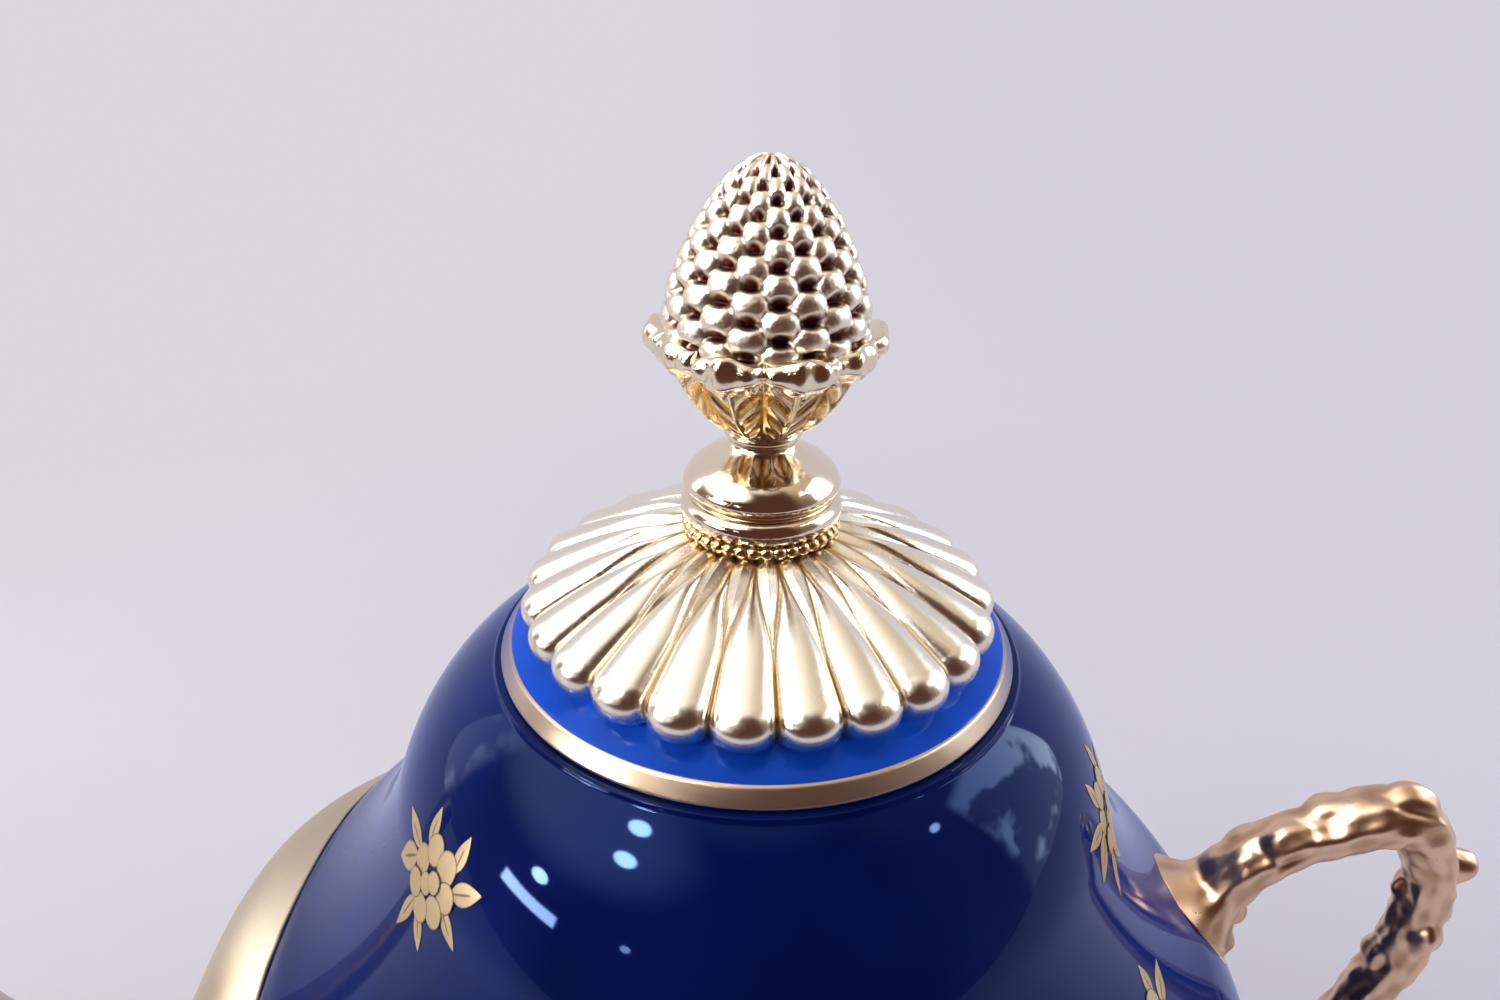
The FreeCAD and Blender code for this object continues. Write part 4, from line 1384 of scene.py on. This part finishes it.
@dataclass
class Sprigs:
    """The gilt flower sprigs on the glaze, each drawn from leaves and round petals.

    A leaf holds its start and end, across and up the slope from the sprig's middle, and its half width.
    A spot holds its middle and its radius. A place is an azimuth and a run from the mouth. Bulge is the
    power that draws a leaf's widest point to its root, and line the powers that keep the drawn edges thin.
    """

    leaves: Tuple[Tuple[float, float, float, float, float], ...] = (
        (-4.2, 2.4, -10.6, 3.4, 1.0), (-3.0, 3.8, -3.9, 8.2, 1.05), (3.0, 4.4, 2.9, 9.0, 1.05),
        (3.6, 2.4, 8.2, 5.0, 1.35), (2.8, 0.4, 6.8, -2.8, 1.05), (-1.6, -3.2, 1.0, -7.2, 1.0),
        (-2.6, -2.4, -5.2, -8.3, 1.05), (-4.6, 1.4, -9.4, -2.4, 1.7))
    spots: Tuple[Triple, ...] = (
        (-3.3, 1.9, 1.75), (-1.5, 4.3, 1.8), (1.6, 4.1, 1.95), (3.1, 1.4, 1.75), (1.8, -1.3, 1.85),
        (-0.9, -2.6, 1.75), (-3.2, -1.0, 1.7), (-0.9, 0.5, 1.3), (0.6, 1.6, 1.3))
    places: Tuple[Pair, ...] = (
        (-51.0, 21.0), (73.0, 22.0), (189.0, 21.0),
        (60.0, 46.5), (-12.0, 43.0), (132.0, 43.0), (204.0, 43.0),
        (24.0, 78.0), (-48.0, 78.0), (140.0, 82.0), (212.0, 82.0))
    lift: float = 0.05
    depth: float = 0.04
    step: float = 0.03
    ends: Pair = (0.02, 0.98)
    bulge: float = 0.8
    line: Tuple[int, int] = (6, 7)
    vein: float = 0.14
    vein_end: Pair = (0.9, 0.5)
    rows: int = 16
    columns: int = 24

    def stroke(self, start: Pair, end: Pair, half: float, shape: Petal, layer: int, place: Pair,
               trace: np.ndarray) -> Form:
        """One thin lens, bent to the glaze: half width sin(pi t) for a leaf, or a circle's for a petal.

        Args:
            start: where it begins, across and up from the sprig's middle.
            end: where it ends.
            half: its half width.
            shape: leaf or petal.
            layer: how many petals lie under it.
            place: the sprig's azimuth and run from the mouth.
            trace: the pot's outline.

        Returns:
            The closed lens.
        """
        t = np.linspace(*self.ends, self.rows)[:, None]
        bend = np.linspace(0.0, TURN, self.columns, endpoint=False)[None]
        along = np.subtract(end, start)
        cross = np.array([-along[1], along[0]]) / np.linalg.norm(along)
        width = np.sin(np.pi * t ** self.bulge) if shape is Petal.LEAF else dome(2.0 * t - 1.0)
        over = half * width * np.cos(bend)
        flat = np.array(start) + t[..., None] * along + over[..., None] * cross
        high = self.lift + self.step * layer + self.depth * np.sin(bend) * np.sqrt(width)
        run = place[1] - flat[..., 1]
        radius, height, slope = (np.interp(run, trace[:, 0], trace[:, k]) for k in (1, 2, 3))
        azimuth = np.radians(place[0]) + flat[..., 0] / radius
        points = turned(radius + high * np.sin(slope), height + high * np.cos(slope), azimuth)
        if shape is Petal.LEAF:
            vein = hump(np.cos(bend), 0.0, self.vein) * smooth(*self.vein_end, t)
            drawn = np.maximum(np.abs(np.cos(bend)) ** self.line[0], vein)
        else:
            drawn = np.hypot(2.0 * t - 1.0, width * np.cos(bend)) ** self.line[1]
        return Form.grid(points, {Mark.EDGE: drawn}).outward()

    def dress(self, site: Site, outline: PotOutline, material: bpy.types.Material) -> None:
        """All the strokes of all the sprigs as one piece.

        Args:
            site: where the part stands.
            outline: the pot's outer outline.
            material: their print.
        """
        trace = outline.trace(site)
        forms = []
        for place in self.places:
            for x0, y0, x1, y1, half in self.leaves:
                forms.append(self.stroke((x0, y0), (x1, y1), half, Petal.LEAF, 0, place, trace))
            for layer, (x, y, half) in enumerate(self.spots):
                ends = (x - half, y), (x + half, y)
                forms.append(self.stroke(*ends, half, Petal.ROUND, layer, place, trace))
        Form.joined(forms).piece("gilt_sprigs", site, material, Body.POT, Slot.GILT)


@dataclass
class Fittings:
    """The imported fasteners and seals, which keep their shapes."""

    steel: Tuple[str, ...] = (
        "spout_screws", "spout_washers", "handle_screws", "handle_washers", "finial_stud", "lid_washer",
        "lid_nut")
    seals: Tuple[str, ...] = ("spout_gasket", "handle_gaskets", "spout_seals", "handle_seals", "lid_seal")

    def dress(self, steel: bpy.types.Material, seal: bpy.types.Material) -> None:
        """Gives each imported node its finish.

        Args:
            steel: the fasteners' finish.
            seal: the seals' finish.
        """
        for names, material in ((self.steel, steel), (self.seals, seal)):
            for name in names:
                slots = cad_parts[name].data.materials
                slots.clear()
                slots.append(material)
                log.info("%s: packed node, %s", name, material.name)


class Shape(Enum):
    """How a light's edge is drawn on the sky."""

    ROUND = "round"
    PANEL = "panel"


@dataclass(frozen=True)
class Lamp:
    """A light that only glossy surfaces see: its middle and half widths in degrees, soft edge and colour.

    The edge's softness is a share of the half widths on a round light, and degrees on a panel. A panel may
    be broken by clouds, which come in between the values of gaps.
    """

    azimuth: float
    rise: float
    half: Pair
    soft: float
    colour: Colour
    strength: float
    shape: Shape = Shape.ROUND
    broken: float = 0.0
    gaps: Pair = (0.47, 0.56)

    def near(self, azimuth: Wire, rise: Wire, cloud: Wire) -> Wire:
        """Draws the light on the sky.

        Args:
            azimuth: the sky's azimuth in degrees.
            rise: the sky's elevation in degrees.
            cloud: noise that breaks up a panel.

        Returns:
            1 on the light and 0 beyond its soft edge.
        """
        wide, tall = self.half
        if self.shape is Shape.ROUND:
            across = (azimuth - self.azimuth) * (float(np.cos(np.radians(self.rise))) / wide)
            above = (rise - self.rise) * (1.0 / tall)
            return (across * across + above * above).fall(1.0 - self.soft, 1.0 + self.soft)
        level = azimuth.within(self.azimuth - wide, self.azimuth + wide, self.soft)
        panel = level * rise.within(self.rise - tall, self.rise + tall, self.soft)
        return panel * (1.0 - cloud.rise(*self.gaps) * self.broken)


WHITE_LAMP: Colour = (1.0, 0.98, 0.96)
CLEAR_LAMP: Colour = (1.0, 0.98, 0.98)
COOL_LAMP: Colour = (0.90, 0.95, 1.0)


@dataclass(frozen=True)
class SoftBox:
    """A square lamp: its name, where it stands in metres, its width and its power in watts."""

    name: str
    place: Triple
    size: float
    power: float


@dataclass
class Studio:
    """A pale floor that curves up behind, three soft boxes, the lights that gloss mirrors, and the camera.

    The camera's place is in millimetres from the axis and the lid's edge; the studio's lengths are metres.
    Floor_sides and sky_sides hold where one colour turns to the next across the studio, sky_rise does so
    in degrees upwards, and lit_disc holds how far out the floor turns from lit to plain. Dark_across and
    dark_up hold the dark patch's two edges and its softness, in degrees.
    """

    pitch: float = 26.46
    roll: float = 1.43
    eye: Triple = (-1.34, -107.92, 72.67)
    lens: float = 24.0
    sensor: float = 36.0
    nearest: float = 0.005
    # The floor's two colours, lighter on the left and darker on the right: painted light falling off from the
    # left.
    floor_left_painted_light: Colour = (0.700, 0.675, 0.735)
    floor_right_painted_shade: Colour = (0.660, 0.640, 0.725)
    floor_sides: Pair = (-0.25, 0.35)
    floor_rough: float = 0.6
    lit_disc: Pair = (0.16, 0.45)
    near_edge: float = -0.3
    back: float = 1.6
    sweep: float = 1.0
    wall_top: float = 5.0
    half_width: float = 5.0
    floor_rows: Tuple[int, int, int] = (24, 20, 11)
    air: Colour = (0.680, 0.658, 0.730)
    ambient: Colour = (0.93, 0.92, 1.0)
    ambient_level: float = 0.26
    sky_low: Colour = (0.24, 0.165, 0.125)
    sky_left: Colour = (1.30, 1.26, 1.20)
    sky_right: Colour = (0.66, 0.53, 0.40)
    sky_sides: Pair = (-0.25, 0.65)
    sky_rise: Pair = (12.0, 66.0)
    front: Colour = (0.085, 0.036, 0.024)
    dark_across: Triple = (-48.0, 44.0, 24.0)
    dark_up: Triple = (-90.0, 56.0, 16.0)
    clouds: Pair = (3.5, 3.0)
    aim: Triple = (0.0, 0.0, 0.1)
    boxes: Tuple[SoftBox, ...] = (
        SoftBox("left_box", (-1.1, -0.1, 0.14), 0.6, 20.0),
        SoftBox("right_box", (1.15, 0.05, 0.14), 0.6, 15.0),
        SoftBox("overhead", (-0.1, 0.4, 1.5), 1.2, 11.0))
    lamps: Tuple[Lamp, ...] = (
        Lamp(-74.0, 48.0, (30.0, 20.0), 0.9, WHITE_LAMP, 3.8),
        Lamp(-125.0, 26.0, (17.0, 44.0), 6.0, COOL_LAMP, 3.6, Shape.PANEL, 0.6),
        Lamp(-53.6, 54.6, (3.2, 2.7), 0.35, WHITE_LAMP, 110.0),
        Lamp(-47.4, 42.6, (3.4, 2.7), 0.35, WHITE_LAMP, 110.0),
        Lamp(-65.2, 19.0, (2.8, 2.2), 0.35, CLEAR_LAMP, 100.0),
        Lamp(-33.7, 13.9, (1.4, 1.2), 0.5, CLEAR_LAMP, 30.0),
        Lamp(73.3, 40.2, (1.6, 1.4), 0.5, (0.92, 0.95, 1.0), 40.0),
        Lamp(-64.5, 9.5, (9.5, 1.4), 1.2, COOL_LAMP, 60.0, Shape.PANEL),
        Lamp(101.0, 12.0, (15.0, 26.0), 5.0, (0.80, 0.90, 1.0), 8.0, Shape.PANEL, 0.85))

    def paint_floor(self) -> bpy.types.Material:
        """Paler on the left and darker, bluer on the right: painted light falling off from the left. Lit near
        the pot, and its plain colour further out.

        Returns:
            The floor's material.
        """
        g = Graph(bpy.data.materials.new("pale_floor"))
        across = g.part(g.place(), 0)
        away = g.node("ShaderNodeVectorMath", {"operation": "LENGTH"}, {0: g.place()}, "Value")
        colour = g.mix(across.rise(*self.floor_sides), self.floor_left_painted_light, self.floor_right_painted_shade)
        lit = g.principled(Base_Color=colour, Roughness=self.floor_rough)
        direct = g.ray(Ray.CAMERA).most(g.ray(Ray.GLOSSY)).most(g.ray(Ray.THROUGH))
        return g.end(g.blend(direct * away.rise(*self.lit_disc), lit, g.glow("Emission", colour)))

    def floor(self) -> None:
        """A level sheet, then a quarter circle up to a wall: y grows by sin bend and z by 1 - cos bend."""
        level, curved, columns = self.floor_rows
        reach = np.linspace(self.near_edge, self.back, level)
        bend = np.linspace(0.0, QUARTER, curved)[1:]
        y = np.concatenate([reach, self.back + self.sweep * np.sin(bend), [self.back + self.sweep]])
        z = np.concatenate([np.zeros_like(reach), self.sweep * (1.0 - np.cos(bend)), [self.wall_top]])
        x = np.linspace(-self.half_width, self.half_width, columns)
        points = np.stack(np.broadcast_arrays(x[None], y[:, None], z[:, None]), axis=-1).reshape(-1, 3)
        index = np.arange(len(points)).reshape(len(y), columns)
        corners = [index[:-1, :-1], index[:-1, 1:], index[1:, 1:], index[1:, :-1]]
        quads = np.stack(corners, axis=-1).reshape(-1, 4)
        mesh = bpy.data.meshes.new("floor")
        mesh.from_pydata(points.tolist(), [], quads.tolist())
        mesh.polygons.foreach_set("use_smooth", np.ones(len(quads), bool))
        mesh.materials.append(self.paint_floor())
        sheet = bpy.data.objects.new("floor", mesh)
        bpy.context.scene.collection.objects.link(sheet)
        log.info("floor: stage")

    def world(self) -> None:
        """Soft ambient light; glossy surfaces see a sky with lamps and panels by azimuth and elevation."""
        made = bpy.data.worlds.new("studio")
        bpy.context.scene.world = made
        g = Graph(made)
        way = g.node("ShaderNodeTexCoord", output="Generated")
        x, y, z = (g.part(way, k) for k in range(3))
        degrees = float(np.degrees(1.0))
        azimuth = x.math("ARCTAN2", x, 0.0 - y) * degrees
        rise = z.math("ARCSINE", z) * degrees
        scale, detail = self.clouds
        cloud = g.node("ShaderNodeTexNoise", inputs={"Vector": way, "Scale": scale, "Detail": detail})
        high = g.mix(x.rise(*self.sky_sides), self.sky_left, self.sky_right)
        shown = g.mix(rise.rise(*self.sky_rise), self.sky_low, high)
        dark = azimuth.within(*self.dark_across) * rise.within(*self.dark_up)
        shown = g.mix(dark, shown, self.front)
        for lamp in self.lamps:
            bright = tuple(c * lamp.strength for c in lamp.colour)
            shown = g.mix(lamp.near(azimuth, rise, cloud), shown, bright)
        soft = g.node("ShaderNodeBackground", inputs={"Color": self.ambient, "Strength": self.ambient_level})
        direct = g.ray(Ray.CAMERA).most(g.ray(Ray.THROUGH))
        soft = g.blend(direct, soft, g.glow("Background", self.air))
        g.end(g.blend(g.ray(Ray.GLOSSY), soft, g.glow("Background", shown)))

    def lights(self) -> None:
        """Soft boxes to the left, to the right and overhead, which polished surfaces do not mirror."""
        for box in self.boxes:
            data = bpy.data.lights.new(box.name, "AREA")
            data.shape, data.size, data.energy = "SQUARE", box.size, box.power
            made = bpy.data.objects.new(box.name, data)
            made.location = box.place
            made.visible_glossy = False
            aim = Vector(self.aim) - made.location
            made.rotation_euler = aim.to_track_quat("-Z", "Y").to_euler()
            bpy.context.scene.collection.objects.link(made)

    def camera(self, site: Site) -> None:
        """Stands the camera at the photograph's height, pitch and roll from the lid's edge.

        Args:
            site: where the part stands.
        """
        pitch, roll = np.radians(self.pitch), np.radians(self.roll)
        ahead = np.array([0.0, np.cos(pitch), -np.sin(pitch)])
        above = np.array([0.0, np.sin(pitch), np.cos(pitch)])
        level = np.array([1.0, 0.0, 0.0])
        stand = np.eye(4)
        stand[:3, 0] = np.cos(roll) * level + np.sin(roll) * above
        stand[:3, 1] = np.cos(roll) * above - np.sin(roll) * level
        stand[:3, 2] = -ahead
        stand[:3, 3] = (np.array(self.eye) + np.array([site.axis, 0.0, site.lid])) * MM
        data = bpy.data.cameras.new("camera")
        data.lens, data.sensor_width, data.clip_start = self.lens, self.sensor, self.nearest
        made = bpy.data.objects.new("camera", data)
        made.matrix_world = Matrix(stand.tolist())
        bpy.context.scene.collection.objects.link(made)
        bpy.context.scene.camera = made

    def set_up(self, site: Site) -> None:
        """Builds the floor, the world, the lights and the camera.

        Args:
            site: where the part stands.
        """
        self.floor()
        self.world()
        self.lights()
        self.camera(site)
        bpy.context.scene.view_settings.view_transform = "Standard"


def main() -> None:
    """Builds and dresses each sub-assembly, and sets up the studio."""
    logging.basicConfig(level=logging.INFO, format="%(name)s %(message)s")
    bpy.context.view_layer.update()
    site, outline, lid = Site.read(), PotOutline(), Lid()
    glaze = CobaltGlaze().material()
    PorcelainPot().dress(site, outline, glaze)
    lid.dress(site, glaze)
    Rosette().dress(site, lid, Plating.SATIN.material())
    BeadRing().dress(site, Plating.YELLOW.material())
    Collar().dress(site, Plating.CHAMPAGNE.material())
    LeafCup().dress(site, Plating.LEAF.material())
    PineCone().dress(site, Plating.PALE_SHADED_PITS.material())
    Spout().dress(site, outline, Plating.MATTE.material())
    BranchHandle().dress(site, outline, Plating.ROSE.material())
    Sprigs().dress(site, outline, GiltPrint().material())
    Fittings().dress(Plain.STEEL.material(), Plain.SEAL.material())
    Studio().set_up(site)


if __name__ == "__main__":
    main()
